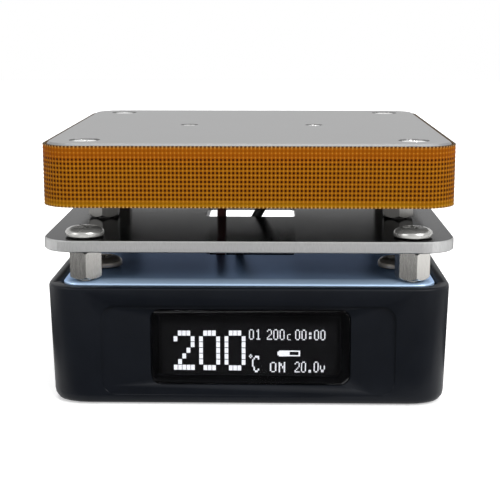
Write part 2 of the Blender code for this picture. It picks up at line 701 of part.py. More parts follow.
def add_stud(item, start, end):
    """Joins a plain stud to a hex bar, between two heights above the bar's lower end."""
    mesh = bmesh.new()
    add_turned(mesh, [(THREAD_RADIUS, start), (THREAD_RADIUS, end)], sides=SMALL_SIDES)
    combine(item, helper(f"{item.name}_stud", mesh, item.location), "UNION")


def bore_hex(item, start, end):
    mesh = bmesh.new()
    bore = THREAD_RADIUS + HOLE_GAP
    add_turned(mesh, [(bore, start), (bore, end)], sides=SMALL_SIDES)
    combine(item, helper(f"{item.name}_bore", mesh, item.location), "DIFFERENCE")


def build_standoffs(places):
    """Standoffs with a stud in the panel below and a bore for the shield's screw above."""
    steel = finish("nickel_steel", (0.60, 0.59, 0.57), 0.28, 1.0)
    low = PANEL_TOP + SEAT_GAP
    high = SHIELD_BOTTOM - SEAT_GAP
    height = high - low
    for name, middle in places["standoffs"].items():
        standoff = build_hex(f"standoff_{name}", middle, low, high, STANDOFF_TURN, steel)
        add_stud(standoff, -STANDOFF_STUD, height / 4)
        bore_hex(standoff, height - SCREW_BITE - HOLE_GAP, height + OVER)


def build_posts(places):
    """Posts with a bore for the screw from below and a stud in the hot plate's cover above."""
    steel = finish("nickel_steel", (0.60, 0.59, 0.57), 0.28, 1.0)
    low = SHIELD_TOP + SEAT_GAP
    high = COVER_BOTTOM - SEAT_GAP
    height = high - low
    for name, middle in places["posts"].items():
        post = build_hex(f"post_{name}", middle, low, high, 0.0, steel)
        add_stud(post, height * 0.75, height + POST_STUD)
        bore_hex(post, -OVER, SCREW_BITE + HOLE_GAP)


def build_shield(places):
    mesh = bmesh.new()
    add_prism(mesh, rounded(SHIELD_WIDTH, SHIELD_DEPTH, PLATE_CORNER), SHIELD_BOTTOM, SHIELD_TOP)
    shield = place("heat_shield", mesh, finish("polished_aluminium", (0.62, 0.62, 0.63), 0.16, 1.0))
    soften(shield, SHIELD_EDGE)
    cut_prisms(shield, "shield_window", [(window_outline(), SHIELD_BOTTOM - OVER, SHIELD_TOP + OVER)])
    bores = []
    for middle in [*places["posts"].values(), *places["standoffs"].values()]:
        bores.append((middle, THREAD_RADIUS + HOLE_GAP, SHIELD_BOTTOM - OVER, SHIELD_TOP + OVER))
    drill(shield, "shield_bores", bores)
    return shield


def build_frame_screws(places):
    """The screws of the shield, the posts and the panel."""
    steel = finish("screw_steel", (0.55, 0.54, 0.52), 0.25, 1.0)
    length = SHIELD_THICK + 2 * SEAT_GAP + SCREW_BITE
    top = pan_profile(THREAD_RADIUS, length, PAN_HEAD_RADIUS, PAN_HEAD_HEIGHT)
    fasteners("shield_screw", places["standoffs"], SHIELD_TOP + SEAT_GAP, top, steel)
    under = pan_profile(THREAD_RADIUS, length, HIDDEN_HEAD_RADIUS, HIDDEN_HEAD_HEIGHT, dome_steps=2)
    seat = SHIELD_BOTTOM - SEAT_GAP
    fasteners("post_screw", places["posts"], seat, under, steel, SMALL_SIDES, upside_down=True)
    panel = pan_profile(THREAD_RADIUS, PANEL_SCREW_LENGTH, PANEL_HEAD_RADIUS, PANEL_HEAD_HEIGHT)
    fasteners("panel_screw", places["panel"], PANEL_TOP + SEAT_GAP, panel, steel)


def core_outline(inset):
    """The hot plate's outline inside its fabric band, drawn in by a further inset."""
    shrink = FABRIC_THICK + SEAT_GAP + inset
    return rounded(PLATE_WIDTH - 2 * shrink, PLATE_DEPTH - 2 * shrink, PLATE_CORNER - shrink)


def build_cover(places):
    mesh = bmesh.new()
    add_prism(mesh, core_outline(0.0), COVER_BOTTOM, COVER_TOP)
    cover = place("hot_plate_cover", mesh, finish("dark_mica_board", (0.035, 0.033, 0.032), 0.35))
    cut_prisms(cover, "cover_window", [(cover_window_outline(), COVER_BOTTOM - OVER, COVER_TOP + OVER)])
    bores = []
    for middle in [*places["posts"].values(), *places["corners"].values()]:
        bores.append((middle, THREAD_RADIUS + HOLE_GAP, COVER_BOTTOM - OVER, COVER_TOP + OVER))
    drill(cover, "cover_bores", bores)
    return cover


def build_core(places):
    """The insulation block, with a seat for the heater, a pocket for the clamp and a way for the leads."""
    mesh = bmesh.new()
    add_prism(mesh, core_outline(CORE_INSET), CORE_BOTTOM, CORE_TOP)
    core = place("insulation_core", mesh, finish("ceramic_fibre", (0.70, 0.68, 0.62), 0.95))
    heater = box_outline(
        -HEATER_WIDTH / 2 - HOLE_GAP,
        HEATER_WIDTH / 2 + HOLE_GAP,
        -HEATER_LENGTH / 2 - HOLE_GAP,
        HEATER_LENGTH / 2 + HOLE_GAP,
    )
    half_clamp = CLAMP_LENGTH / 2 + CLAMP_POCKET_MARGIN
    back = max(CLAMP_WIDTH / 2, SENSOR_LENGTH / 2) + 5 * CLAMP_POCKET_MARGIN
    pocket = box_outline(-half_clamp, half_clamp, COVER_WINDOW_FRONT, back)
    cut_prisms(core, "heater_seat", [(heater, HEATER_BOTTOM - SEAT_GAP, CORE_TOP + OVER)])
    cut_prisms(core, "clamp_pocket", [(pocket, CLAMP_POCKET_BOTTOM, CORE_TOP + OVER)])
    cut_prisms(core, "lead_way", [(cover_window_outline(), CORE_BOTTOM - OVER, CORE_TOP + OVER)])
    bore = THREAD_RADIUS + HOLE_GAP
    corners = places["corners"].values()
    drill(core, "core_bores", [(m, bore, CORE_BOTTOM - OVER, CORE_TOP + OVER) for m in corners])
    return core


def build_heat_plate(places):
    """The aluminium top plate with countersunk holes."""
    mesh = bmesh.new()
    add_prism(mesh, core_outline(0.0), HEAT_PLATE_BOTTOM, HEAT_PLATE_TOP)
    plate = place("heat_plate", mesh, finish("brushed_aluminium", (0.55, 0.54, 0.53), 0.35, 1.0))
    soften(plate, HEAT_PLATE_EDGE)
    mesh = bmesh.new()
    sets = (
        (places["corners"], THREAD_RADIUS, COUNTERSINK_HEAD_RADIUS, COUNTERSINK_HEAD_HEIGHT),
        (places["clamp"], CLAMP_SCREW_RADIUS, CLAMP_HEAD_RADIUS, CLAMP_HEAD_HEIGHT),
    )
    for middles, shank, head, height in sets:
        sink_bottom = HEAT_PLATE_TOP - SCREW_BELOW_FACE - height - SEAT_GAP
        sink_top = HEAT_PLATE_TOP - SCREW_BELOW_FACE - 0.15 * height - SEAT_GAP
        for middle in middles.values():
            profile = [
                (shank + HOLE_GAP, HEAT_PLATE_BOTTOM - OVER),
                (shank + HOLE_GAP, sink_bottom),
                (head + SEAT_GAP, sink_top),
                (head + SEAT_GAP, HEAT_PLATE_TOP + OVER),
            ]
            add_turned(mesh, profile, middle)
    combine(plate, helper("plate_sinks", mesh), "DIFFERENCE")
    return plate


def build_plate_screws(places):
    steel = finish("screw_steel", (0.55, 0.54, 0.52), 0.25, 1.0)
    seat = HEAT_PLATE_TOP - SCREW_BELOW_FACE
    corner_length = seat - COVER_BOTTOM - SEAT_GAP
    corner = countersunk_profile(
        THREAD_RADIUS, corner_length, COUNTERSINK_HEAD_RADIUS, COUNTERSINK_HEAD_HEIGHT
    )
    fasteners("plate_screw", places["corners"], seat, corner, steel)
    clamp_length = seat - CLAMP_BOTTOM
    clamp = countersunk_profile(CLAMP_SCREW_RADIUS, clamp_length, CLAMP_HEAD_RADIUS, CLAMP_HEAD_HEIGHT)
    fasteners("clamp_screw", places["clamp"], seat, clamp, steel, SMALL_SIDES)


def build_heater(places):
    mesh = bmesh.new()
    outline = rounded(HEATER_WIDTH, HEATER_LENGTH, HEATER_CORNER, steps=3)
    add_prism(mesh, outline, HEATER_BOTTOM, HEATER_TOP)
    place("heater_element", mesh, finish("alumina_ceramic", (0.80, 0.78, 0.74), 0.45))

    steel = finish("spring_steel", (0.45, 0.45, 0.46), 0.35, 1.0)
    mesh = bmesh.new()
    add_prism(mesh, rounded(CLAMP_LENGTH, CLAMP_WIDTH, CLAMP_CORNER, steps=4), CLAMP_BOTTOM, CLAMP_TOP)
    clamp = place("heater_clamp", mesh, steel)
    bore = CLAMP_SCREW_RADIUS + HOLE_GAP
    screws = places["clamp"].values()
    drill(clamp, "clamp_bores", [(m, bore, CLAMP_BOTTOM - OVER, CLAMP_TOP + OVER) for m in screws])

    mesh = bmesh.new()
    half = SENSOR_LENGTH / 2
    tip = SENSOR_RADIUS * 0.5
    profile = [(tip, -half), (SENSOR_RADIUS, -half + tip), (SENSOR_RADIUS, half - tip), (tip, half)]
    add_turned(mesh, profile, sides=SMALL_SIDES)
    height = (CLAMP_TOP + HEAT_PLATE_BOTTOM) / 2
    glass = finish("sensor_glass", (0.42, 0.20, 0.08), 0.20)
    place("temperature_sensor", mesh, glass, location=(SENSOR_X, 0.0, height), rotation=TO_FRONT)


def build_fabric():
    """The woven band round the plate's edge, a plain skin of the cloth's thickness."""
    low = COVER_BOTTOM
    high = HEAT_PLATE_TOP - HEAT_PLATE_EDGE
    mesh = bmesh.new()
    add_prism(mesh, rounded(PLATE_WIDTH, PLATE_DEPTH, PLATE_CORNER), low, high)
    fabric = place("fabric_band", mesh, finish("amber_glass_cloth", (0.55, 0.24, 0.02), 0.70))
    width = PLATE_WIDTH - 2 * FABRIC_THICK
    depth = PLATE_DEPTH - 2 * FABRIC_THICK
    inside = rounded(width, depth, PLATE_CORNER - FABRIC_THICK)
    cut_prisms(fabric, "fabric_inside", [(inside, low - OVER, high + OVER)])
    return fabric


def build_display():
    mesh = bmesh.new()
    lens = rounded(LENS_WIDTH, LENS_HEIGHT, LENS_CORNER, (0.0, LENS_MIDDLE_Z), steps=4)
    add_prism(mesh, lens, -LENS_BACK, -LENS_FRONT)
    place("display_lens", mesh, finish("smoked_acrylic", (0.004, 0.004, 0.005), 0.08), rotation=TO_FRONT)

    mesh = bmesh.new()
    glass = rounded(GLASS_WIDTH, GLASS_HEIGHT, PACKAGE_CORNER, (0.0, LENS_MIDDLE_Z), steps=2)
    add_prism(mesh, glass, -GLASS_BACK, -GLASS_FRONT)
    place("display_panel", mesh, finish("display_glass", (0.006, 0.006, 0.008), 0.10), rotation=TO_FRONT)

    mesh = bmesh.new()
    board = rounded(DISPLAY_BOARD_WIDTH, DISPLAY_BOARD_HEIGHT, PACKAGE_CORNER, (0.0, LENS_MIDDLE_Z), steps=2)
    add_prism(mesh, board, -DISPLAY_BOARD_BACK, -DISPLAY_BOARD_FRONT)
    board = place("display_board", mesh, finish("blue_board", (0.01, 0.05, 0.16), 0.40), rotation=TO_FRONT)
    add_header(board)


def add_header(board):
    """The display's pin header, soldered to its board and resting on the control board."""
    bar_front = BOARD_FRONT + HEADER_INSET
    half_width = HEADER_PINS * HEADER_PITCH / 2
    low = ON_BOARD + HEADER_HEIGHT / 2 - HEADER_PIN / 2
    bar = bmesh.new()
    outline = box_outline(-half_width, half_width, bar_front, bar_front + HEADER_DEPTH)
    add_prism(bar, outline, ON_BOARD, ON_BOARD + HEADER_HEIGHT)
    combine(board, helper("header_bar", bar), "UNION")
    pins = bmesh.new()
    for i in range(HEADER_PINS):
        x = (i - (HEADER_PINS - 1) / 2) * HEADER_PITCH
        start = (DISPLAY_BOARD_FRONT + DISPLAY_BOARD_BACK) / 2
        outline = box_outline(x - HEADER_PIN / 2, x + HEADER_PIN / 2, start, bar_front + HEADER_DEPTH / 2)
        add_prism(pins, outline, low, low + HEADER_PIN)
    combine(board, helper("header_pins", pins), "UNION")


def build_control_board():
    """The board on its pins, with the two capacitors soldered to it."""
    mesh = bmesh.new()
    depth = BOARD_BACK - BOARD_FRONT
    outline = rounded(BOARD_WIDTH, depth, BOARD_CORNER, (0.0, BOARD_MIDDLE_Y), steps=3)
    add_prism(mesh, outline, BOARD_BOTTOM, BOARD_TOP)
    board = place("control_board", mesh, finish("green_board", (0.01, 0.10, 0.03), 0.40))
    bore = BOARD_PIN_RADIUS + HOLE_GAP
    bores = [(middle, bore, BOARD_BOTTOM - OVER, BOARD_TOP + OVER) for middle in board_pin_places()]
    drill(board, "board_bores", bores)
    mesh = bmesh.new()
    base = BOARD_TOP + CAPACITOR_BASE
    high = BOARD_TOP + CAPACITOR_HEIGHT
    groove = 0.9 * CAPACITOR_RADIUS
    profile = [
        (CAPACITOR_RADIUS, BOARD_TOP - BOARD_THICK / 2),
        (CAPACITOR_RADIUS, base),
        (groove, base + CAPACITOR_GROOVE),
        (CAPACITOR_RADIUS, base + 2 * CAPACITOR_GROOVE),
        (CAPACITOR_RADIUS, high - CAPACITOR_GROOVE),
        (groove, high),
    ]
    for middle in CAPACITOR_PLACES:
        add_turned(mesh, profile, middle, SMALL_SIDES)
    combine(board, helper("capacitors", mesh), "UNION")


def block_on_board(name, middle, width, depth, height, material, corner=PACKAGE_CORNER):
    mesh = bmesh.new()
    add_prism(mesh, rounded(width, depth, corner, middle, steps=2), ON_BOARD, ON_BOARD + height)
    return place(name, mesh, material)


def build_board_parts():
    black = finish("chip_plastic", (0.015, 0.015, 0.016), 0.55)
    ferrite = finish("ferrite", (0.06, 0.06, 0.065), 0.60)
    chip_place = (CHIP_X, CHIP_Y)
    block_on_board("microcontroller", chip_place, CHIP_WIDTH, CHIP_WIDTH, CHIP_HEIGHT, black)
    block_on_board(
        "inductor",
        (INDUCTOR_X, INDUCTOR_Y),
        INDUCTOR_WIDTH,
        INDUCTOR_WIDTH,
        INDUCTOR_HEIGHT,
        ferrite,
        INDUCTOR_CORNER,
    )
    transistor = block_on_board(
        "power_transistor",
        (TRANSISTOR_X, TRANSISTOR_Y),
        TRANSISTOR_WIDTH,
        TRANSISTOR_DEPTH,
        TRANSISTOR_HEIGHT,
        black,
    )
    tab = bmesh.new()
    tab_middle = (TRANSISTOR_X, TRANSISTOR_Y + TRANSISTOR_DEPTH / 2)
    tab_outline = rounded(TAB_WIDTH, 2 * TAB_STICKS_OUT, PACKAGE_CORNER, tab_middle, steps=2)
    add_prism(tab, tab_outline, ON_BOARD, ON_BOARD + TAB_THICK)
    combine(transistor, helper("transistor_tab", tab), "UNION")


def build_connectors():
    """The heater terminal and the sensor's connector."""
    green = finish("terminal_plastic", (0.02, 0.16, 0.07), 0.50)
    middle_x = (RED_WAY_X + BLACK_WAY_X) / 2
    terminal = block_on_board(
        "heater_terminal", (middle_x, WIRE_Y), TERMINAL_WIDTH, TERMINAL_DEPTH, TERMINAL_HEIGHT, green
    )
    top = ON_BOARD + TERMINAL_HEIGHT
    hole = HEATER_WIRE_RADIUS + HOLE_GAP
    ways = [((x, WIRE_Y), hole, top - TERMINAL_HOLE_DEPTH, top + OVER) for x in (RED_WAY_X, BLACK_WAY_X)]
    drill(terminal, "terminal_ways", ways)
    front = -WIRE_Y + TERMINAL_DEPTH / 2
    screws = []
    for x in (RED_WAY_X, BLACK_WAY_X):
        outline = circle(TERMINAL_SCREW_RADIUS, SMALL_SIDES, (x, ON_BOARD + TERMINAL_HEIGHT / 2))
        screws.append((outline, front - TERMINAL_SCREW_RADIUS, front + OVER))
    cut_prisms(terminal, "terminal_screw_ways", screws, rotation=TO_FRONT)

    white = finish("connector_nylon", (0.75, 0.73, 0.68), 0.50)
    plug = block_on_board(
        "sensor_connector",
        (-WIRE_X, SENSOR_WIRE_Y),
        SENSOR_PLUG_WIDTH,
        SENSOR_PLUG_DEPTH,
        SENSOR_PLUG_HEIGHT,
        white,
    )
    high = ON_BOARD + SENSOR_PLUG_HEIGHT
    bore = SENSOR_WIRE_RADIUS + HOLE_GAP
    drill(plug, "sensor_way", [((-WIRE_X, SENSOR_WIRE_Y), bore, high - SENSOR_WAY_DEPTH, high + OVER)])


def build_socket():
    """The power socket: a drawn shell with a tongue inside, open to the back."""
    mesh = bmesh.new()
    middle = (0.0, -SOCKET_MIDDLE_Z)
    front = SOCKET_MOUTH - SOCKET_LENGTH
    outline = rounded(SOCKET_WIDTH, SOCKET_HEIGHT, SOCKET_CORNER, middle, steps=4)
    add_prism(mesh, outline, front, SOCKET_MOUTH)
    steel = finish("socket_steel", (0.60, 0.60, 0.61), 0.25, 1.0)
    socket = place("power_socket", mesh, steel, rotation=TO_BACK)
    inside = rounded(
        SOCKET_WIDTH - 2 * SOCKET_WALL,
        SOCKET_HEIGHT - 2 * SOCKET_WALL,
        SOCKET_CORNER - SOCKET_WALL,
        middle,
        steps=4,
    )
    hollow = [(inside, front + SOCKET_BACK_WALL, SOCKET_MOUTH + OVER)]
    cut_prisms(socket, "socket_inside", hollow, rotation=TO_BACK)
    tongue = bmesh.new()
    outline = rounded(TONGUE_WIDTH, TONGUE_THICK, TONGUE_CORNER, middle, steps=2)
    add_prism(tongue, outline, front + SOCKET_BACK_WALL / 2, SOCKET_MOUTH - TONGUE_SHORT)
    combine(socket, helper("socket_tongue", tongue, rotation=TO_BACK), "UNION")


def build_buttons():
    """Each button's cap and its switch plunger hang on one empty on the button's axis."""
    cap_plastic = finish("button_plastic", (0.05, 0.055, 0.06), 0.45)
    white = finish("plunger_nylon", (0.70, 0.70, 0.68), 0.45)
    black = finish("chip_plastic", (0.015, 0.015, 0.016), 0.55)
    cap_end = REAR_RECESS_FLOOR + BUTTON_PROUD
    for side, name in ((-1, "left"), (1, "right")):
        axis = bpy.data.objects.new(f"button_{name}_axis", None)
        axis.location = (side * BUTTON_X, FLANGE_FRONT, BUTTON_Z)
        bpy.context.scene.collection.objects.link(axis)

        mesh = bmesh.new()
        width = BUTTON_WIDTH + 2 * BUTTON_FLANGE
        height = BUTTON_HEIGHT + 2 * BUTTON_FLANGE
        add_prism(mesh, rounded(width, height, BUTTON_CORNER, steps=4), 0.0, BUTTON_FLANGE_THICK)
        cap = place(f"button_{name}", mesh, cap_plastic, rotation=TO_BACK, parent=axis)
        mesh = bmesh.new()
        length = cap_end - FLANGE_FRONT
        stem = rounded(BUTTON_WIDTH, BUTTON_HEIGHT, BUTTON_CORNER, steps=4)
        crest = rounded(
            BUTTON_WIDTH - 2 * BUTTON_CROWN,
            BUTTON_HEIGHT - 2 * BUTTON_CROWN,
            BUTTON_CORNER - BUTTON_CROWN,
            steps=4,
        )
        add_loft(mesh, [(stem, BUTTON_FLANGE_THICK / 2), (stem, length - BUTTON_CROWN), (crest, length)])
        combine(cap, helper(f"button_{name}_stem", mesh, location=axis.location, rotation=TO_BACK), "UNION")

        mesh = bmesh.new()
        inner = -(PLUNGER_STICKS_OUT + PLUNGER_INSIDE) - SEAT_GAP
        add_turned(mesh, [(PLUNGER_RADIUS, inner), (PLUNGER_RADIUS, -SEAT_GAP)], sides=SMALL_SIDES)
        place(f"switch_plunger_{name}", mesh, white, rotation=TO_BACK, parent=axis)

        mesh = bmesh.new()
        outline = rounded(SWITCH_WIDTH, SWITCH_HEIGHT, PACKAGE_CORNER, (side * BUTTON_X, -BUTTON_Z), steps=2)
        add_prism(mesh, outline, SWITCH_FACE - SWITCH_LENGTH, SWITCH_FACE)
        switch = place(f"switch_{name}", mesh, black, rotation=TO_BACK)
        well = circle(PLUNGER_RADIUS + HOLE_GAP, SMALL_SIDES, (side * BUTTON_X, -BUTTON_Z))
        depth = PLUNGER_INSIDE + BUTTON_TRAVEL + SEAT_GAP
        hollow = [(well, SWITCH_FACE - depth, SWITCH_FACE + OVER)]
        cut_prisms(switch, f"switch_well_{name}", hollow, rotation=TO_BACK)


def smooth_route(points, radius):
    """Points along a smooth curve through the route's own points, a few diameters apart."""
    places = [Vector(p) for p in points]
    ends = [places[0] * 2 - places[1]] + places + [places[-1] * 2 - places[-2]]
    route = []
    for before, start, end, after in zip(ends, ends[1:], ends[2:], ends[3:]):
        handle_out = start + (end - before) / 6
        handle_in = end - (after - start) / 6
        count = max(2, math.ceil((end - start).length / (LEAD_STEP * 2 * radius)))
        route.extend(geometry.interpolate_bezier(start, handle_out, handle_in, end, count + 1)[:-1])
    route.append(places[-1])
    return route


def build_lead(name, points, radius, material):
    curve = bpy.data.curves.new(name, "CURVE")
    curve.dimensions = "3D"
    curve.bevel_depth = radius
    curve.bevel_resolution = 2
    curve.use_fill_caps = True
    route = smooth_route(points, radius)
    spline = curve.splines.new("POLY")
    spline.points.add(len(route) - 1)
    for point, place_on_route in zip(spline.points, route):
        point.co = (*place_on_route, 1.0)
    curve.materials.append(material)
    item = bpy.data.objects.new(name, curve)
    bpy.context.scene.collection.objects.link(item)
    return item


def build_leads():
    """The two heater leads and the sensor's lead, from the hot plate down to the control board."""
    heater_end = HEATER_BOTTOM - HOLE_GAP
    way_end = ON_BOARD + TERMINAL_HEIGHT - TERMINAL_HOLE_DEPTH + HOLE_GAP
    start_y = COVER_WINDOW_FRONT + LEAD_INSET
    below_heater = heater_end - LEAD_STRAIGHT
    red = [
        (-WIRE_X, start_y, heater_end),
        (-WIRE_X, start_y, below_heater),
        (-WIRE_X, (start_y + WIRE_Y) / 2, COVER_BOTTOM),
        (-WIRE_X, WIRE_Y, SHIELD_TOP),
        (RED_WAY_X, WIRE_Y, PANEL_TOP),
        (RED_WAY_X, WIRE_Y, way_end),
    ]
    slant_top = Vector((SLANT_TOP_X, (start_y + WIRE_Y) / 2, COVER_BOTTOM + SLANT_ABOVE_COVER))
    slant_foot = Vector((SLANT_FOOT_X, WIRE_Y, PANEL_TOP + SLANT_ABOVE_PANEL))
    black = [
        (WIRE_X, start_y, heater_end),
        (WIRE_X, start_y, below_heater),
        slant_top,
        slant_top.lerp(slant_foot, 1 / 3),
        slant_top.lerp(slant_foot, 2 / 3),
        slant_foot,
        (BLACK_WAY_X, WIRE_Y, PANEL_BOTTOM),
        (BLACK_WAY_X, WIRE_Y, way_end),
    ]
    sensor_z = (CLAMP_TOP + HEAT_PLATE_BOTTOM) / 2
    sensor_end = SENSOR_LENGTH / 2 + HOLE_GAP
    level = CLAMP_POCKET_BOTTOM + SENSOR_LEAD_LIFT
    plug_end = ON_BOARD + SENSOR_PLUG_HEIGHT - SENSOR_WAY_DEPTH + HOLE_GAP
    sensor = [
        (SENSOR_X, sensor_end, sensor_z),
        (SENSOR_X, (sensor_end + SENSOR_LOOP_Y) / 2, sensor_z - SENSOR_WIRE_RADIUS),
        (0.86 * SENSOR_X, 0.92 * SENSOR_LOOP_Y, (sensor_z + level) / 2),
        (0.53 * SENSOR_X, SENSOR_LOOP_Y, level),
        (0.08 * SENSOR_X, 0.75 * SENSOR_LOOP_Y, level),
        (-0.7 * WIRE_X, 1.7 * SENSOR_WIRE_Y, level - 2 * SENSOR_WIRE_RADIUS),
        (-WIRE_X, SENSOR_WIRE_Y, COVER_BOTTOM),
        (-WIRE_X, SENSOR_WIRE_Y, SHIELD_BOTTOM),
        (-WIRE_X, SENSOR_WIRE_Y, PANEL_BOTTOM),
        (-WIRE_X, SENSOR_WIRE_Y, plug_end),
    ]
    red_silicone = finish("red_silicone", (0.22, 0.01, 0.012), 0.50)
    black_silicone = finish("black_silicone", (0.012, 0.012, 0.012), 0.50)
    sleeve = finish("white_sleeve", (0.70, 0.69, 0.65), 0.50)
    build_lead("heater_lead_red", red, HEATER_WIRE_RADIUS, red_silicone)
    build_lead("heater_lead_black", black, HEATER_WIRE_RADIUS, black_silicone)
    build_lead("sensor_lead", sensor, SENSOR_WIRE_RADIUS, sleeve)


def main():
    clear_scene()
    places = bolt_places()
    build_housing(places)
    build_feet()
    build_top_panel(places)
    build_standoffs(places)
    build_shield(places)
    build_posts(places)
    build_frame_screws(places)
    build_cover(places)
    build_core(places)
    build_heater(places)
    build_heat_plate(places)
    build_plate_screws(places)
    build_fabric()
    build_display()
    build_control_board()
    build_board_parts()
    build_connectors()
    build_socket()
    build_buttons()
    build_leads()


main()
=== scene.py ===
"""The looks of a small bench preheater for circuit boards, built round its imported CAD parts.

Metres, +Z up, front towards -Y. Every piece is drawn in the CAD's own frame, so its object sits at the
origin or at the place of the CAD node that it stands for.
"""

import math

import bmesh
import bpy
from mathutils import Matrix, Vector, geometry


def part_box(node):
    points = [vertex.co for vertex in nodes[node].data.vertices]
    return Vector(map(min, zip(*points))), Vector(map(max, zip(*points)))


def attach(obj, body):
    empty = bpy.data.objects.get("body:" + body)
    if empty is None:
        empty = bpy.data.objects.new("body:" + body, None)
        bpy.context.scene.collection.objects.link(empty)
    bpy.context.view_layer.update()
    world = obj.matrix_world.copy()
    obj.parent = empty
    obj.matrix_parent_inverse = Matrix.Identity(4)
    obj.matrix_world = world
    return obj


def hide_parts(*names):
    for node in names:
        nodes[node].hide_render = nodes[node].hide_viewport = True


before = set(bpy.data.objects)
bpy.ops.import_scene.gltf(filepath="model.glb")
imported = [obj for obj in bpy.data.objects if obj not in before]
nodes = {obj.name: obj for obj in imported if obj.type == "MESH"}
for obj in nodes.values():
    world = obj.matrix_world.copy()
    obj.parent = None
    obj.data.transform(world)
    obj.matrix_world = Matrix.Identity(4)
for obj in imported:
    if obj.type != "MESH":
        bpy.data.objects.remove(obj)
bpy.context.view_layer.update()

MM = 0.001
WHITE = (1.0, 1.0, 1.0, 1.0)
ROOT = "preheater"

# Camera, fitted to the photograph
CAMERA_PLACE = (3.52 * MM, -199.87 * MM, 57.34 * MM)
CAMERA_DOWN = 0.196
CAMERA_TURN = 0.019
CAMERA_LENS = 86.83
SENSOR_WIDTH = 36.0

# The woven band
THREAD_PITCH = 0.573 * MM
ROW_PITCH = 0.62 * MM
WEAVE_STEPS = 4
THREAD_HALF_WIDTH = 0.34
WEAVE_RISE = 0.045 * MM
THREAD_CROWN = 0.085 * MM
CLOTH_THICK = 0.4 * MM
BAND_CORNER = 5.0 * MM

# Stage; the dark cloths have their left, right, front and back edges in millimetres
FLOOR_SIZE = 1.6
FLOOR_GLOW = 0.40
WORLD_LIGHT = 0.55
FLAG_LEVEL = 0.3 * MM
FLAGS = (
    (-160.0, 62.0, -140.0, -34.0), (-31.0, 12.0, -34.0, -31.0), (64.0, 100.0, -58.0, -24.0),
    (-80.0, -44.0, -30.0, 60.0), (33.0, 95.0, -14.0, 60.0),
)

# Surface grain
PLASTIC_GRAIN = 0.12 * MM
PLASTIC_LIFT = 0.006 * MM
BRUSH_PITCH = 0.05 * MM
BRUSH_STRETCH = 0.02

# Screws: radius and height of the head, radius and length of the shank, in millimetres
SHIELD_SCREW = (2.85, 1.3, 1.25, 4.1)
PANEL_SCREW = (3.0, 1.4, 1.25, 6.5)
POST_SCREW = (2.25, 1.3, 1.25, 4.1)
PLATE_SCREW = (2.1, 1.2, 1.25, 8.9)
CLAMP_SCREW = (1.25, 0.7, 0.8, 4.7)
FIRST_TURN = 0.6
TURN_BETWEEN = 1.3
HEAD_STEPS = 48
CROSS_SIDE_DRAFT = 0.72

# Hex bars
HEX_ACROSS = 4.6 * MM
HEX_CHAMFER = 0.35 * MM
STUD_RADIUS = 1.25 * MM
BORE_RADIUS = 1.55 * MM
STANDOFF_TURN = math.radians(9.0)
STANDOFF_STUD = 1.9 * MM
STANDOFF_BORE = 2.3 * MM
POST_STUD = 1.2 * MM
STUD_TIP = 0.2 * MM
HEX_LAND = 0.02 * MM
HEX_STEPS = 96

# Leads: radius, slot and route, with the route's points in millimetres
WIRE_SIDES = 20
LEADS = {
    "heater_lead_red": (0.75 * MM, "red_silicone", (
        (-4.8, -6.1, 35.1), (-4.8, -6.1, 32.6), (-4.8, -5.55, 29.65), (-4.8, -5.0, 24.8),
        (-5.0, -5.0, 18.5), (-5.0, -5.0, 10.5),
    )),
    "heater_lead_black": (0.75 * MM, "black_silicone", (
        (4.8, -6.1, 35.1), (4.8, -6.1, 32.6), (4.4, -5.55, 30.45), (2.4, -5.367, 26.967),
        (0.4, -5.183, 23.483), (-1.6, -5.0, 20.0), (-2.0, -5.0, 16.5), (-2.0, -5.0, 10.5),
    )),
    "sensor_lead": (0.45 * MM, "white_sleeve", (
        (13.2, 2.6, 36.0), (13.2, 4.9, 35.55), (11.352, 6.624, 34.725), (6.996, 7.2, 33.45),
        (1.056, 5.4, 33.45), (-3.36, 2.72, 32.55), (-4.8, 1.6, 29.65), (-4.8, 1.6, 23.1),
        (-4.8, 1.6, 16.5), (-4.8, 1.6, 8.5),
    )),
}

# Readout on the display, seen through the smoked window
PIXEL_LIFT = 0.02 * MM
PIXEL_AREA_X = (-12.7 * MM, 13.0 * MM)
PIXEL_AREA_Z = (4.1 * MM, 12.0 * MM)
PIXEL_GLOW = 3.1
# Faint painted glow over the display's dark area, which gives no light of its own
PAINTED_DISPLAY_GLOW = 0.012

# Housing and the panel above it, where the photograph differs from the CAD's own form
HOUSING_WIDER = 0.70 * MM
WIDER_BELOW = 0.15 * MM
WIDENED_FROM = 22.0 * MM
WIDENED_OVER = 4.4 * MM
HOUSING_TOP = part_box("base_housing")[1].z
FOOT_OF_WALL = 1.6 * MM
HOUSING_LOWER = 0.45 * MM
LOWERED_OVER = 1.0 * MM
FRONT_WALL_BACK = -27.9 * MM
OPENING_HALF = 16.0 * MM
OPENING_LEVELS = (3.0 * MM, 15.0 * MM)
OPENING_SHIFT = 0.35 * MM
PANEL_CORNER = 2.8 * MM
PANEL_UNDER_EDGE = 0.2 * MM
PANEL_EDGE = (2.6 * MM, 0.58 * MM)
PANEL_EDGE_STEPS = 12
WINDOW_SIZE = (14.4 * MM, 16.6 * MM)
WINDOW_CORNER = 0.8 * MM


def centre_of(name):
    low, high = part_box(name)
    return (low + high) / 2


def starting(*prefixes):
    return [name for name in nodes if name.startswith(prefixes)]


# Node materials

def node(tree, kind, settings=None, **inputs):
    """Adds a node; an input's value may be a number, a colour or another node's output."""
    made = tree.nodes.new(kind)
    for key, value in (settings or {}).items():
        setattr(made, key, value)
    for key, value in inputs.items():
        socket = made.inputs[int(key[1:])] if key[0] == "_" else made.inputs[key.replace("_", " ")]
        if isinstance(value, bpy.types.NodeSocket):
            tree.links.new(value, socket)
        else:
            socket.default_value = value
    return made


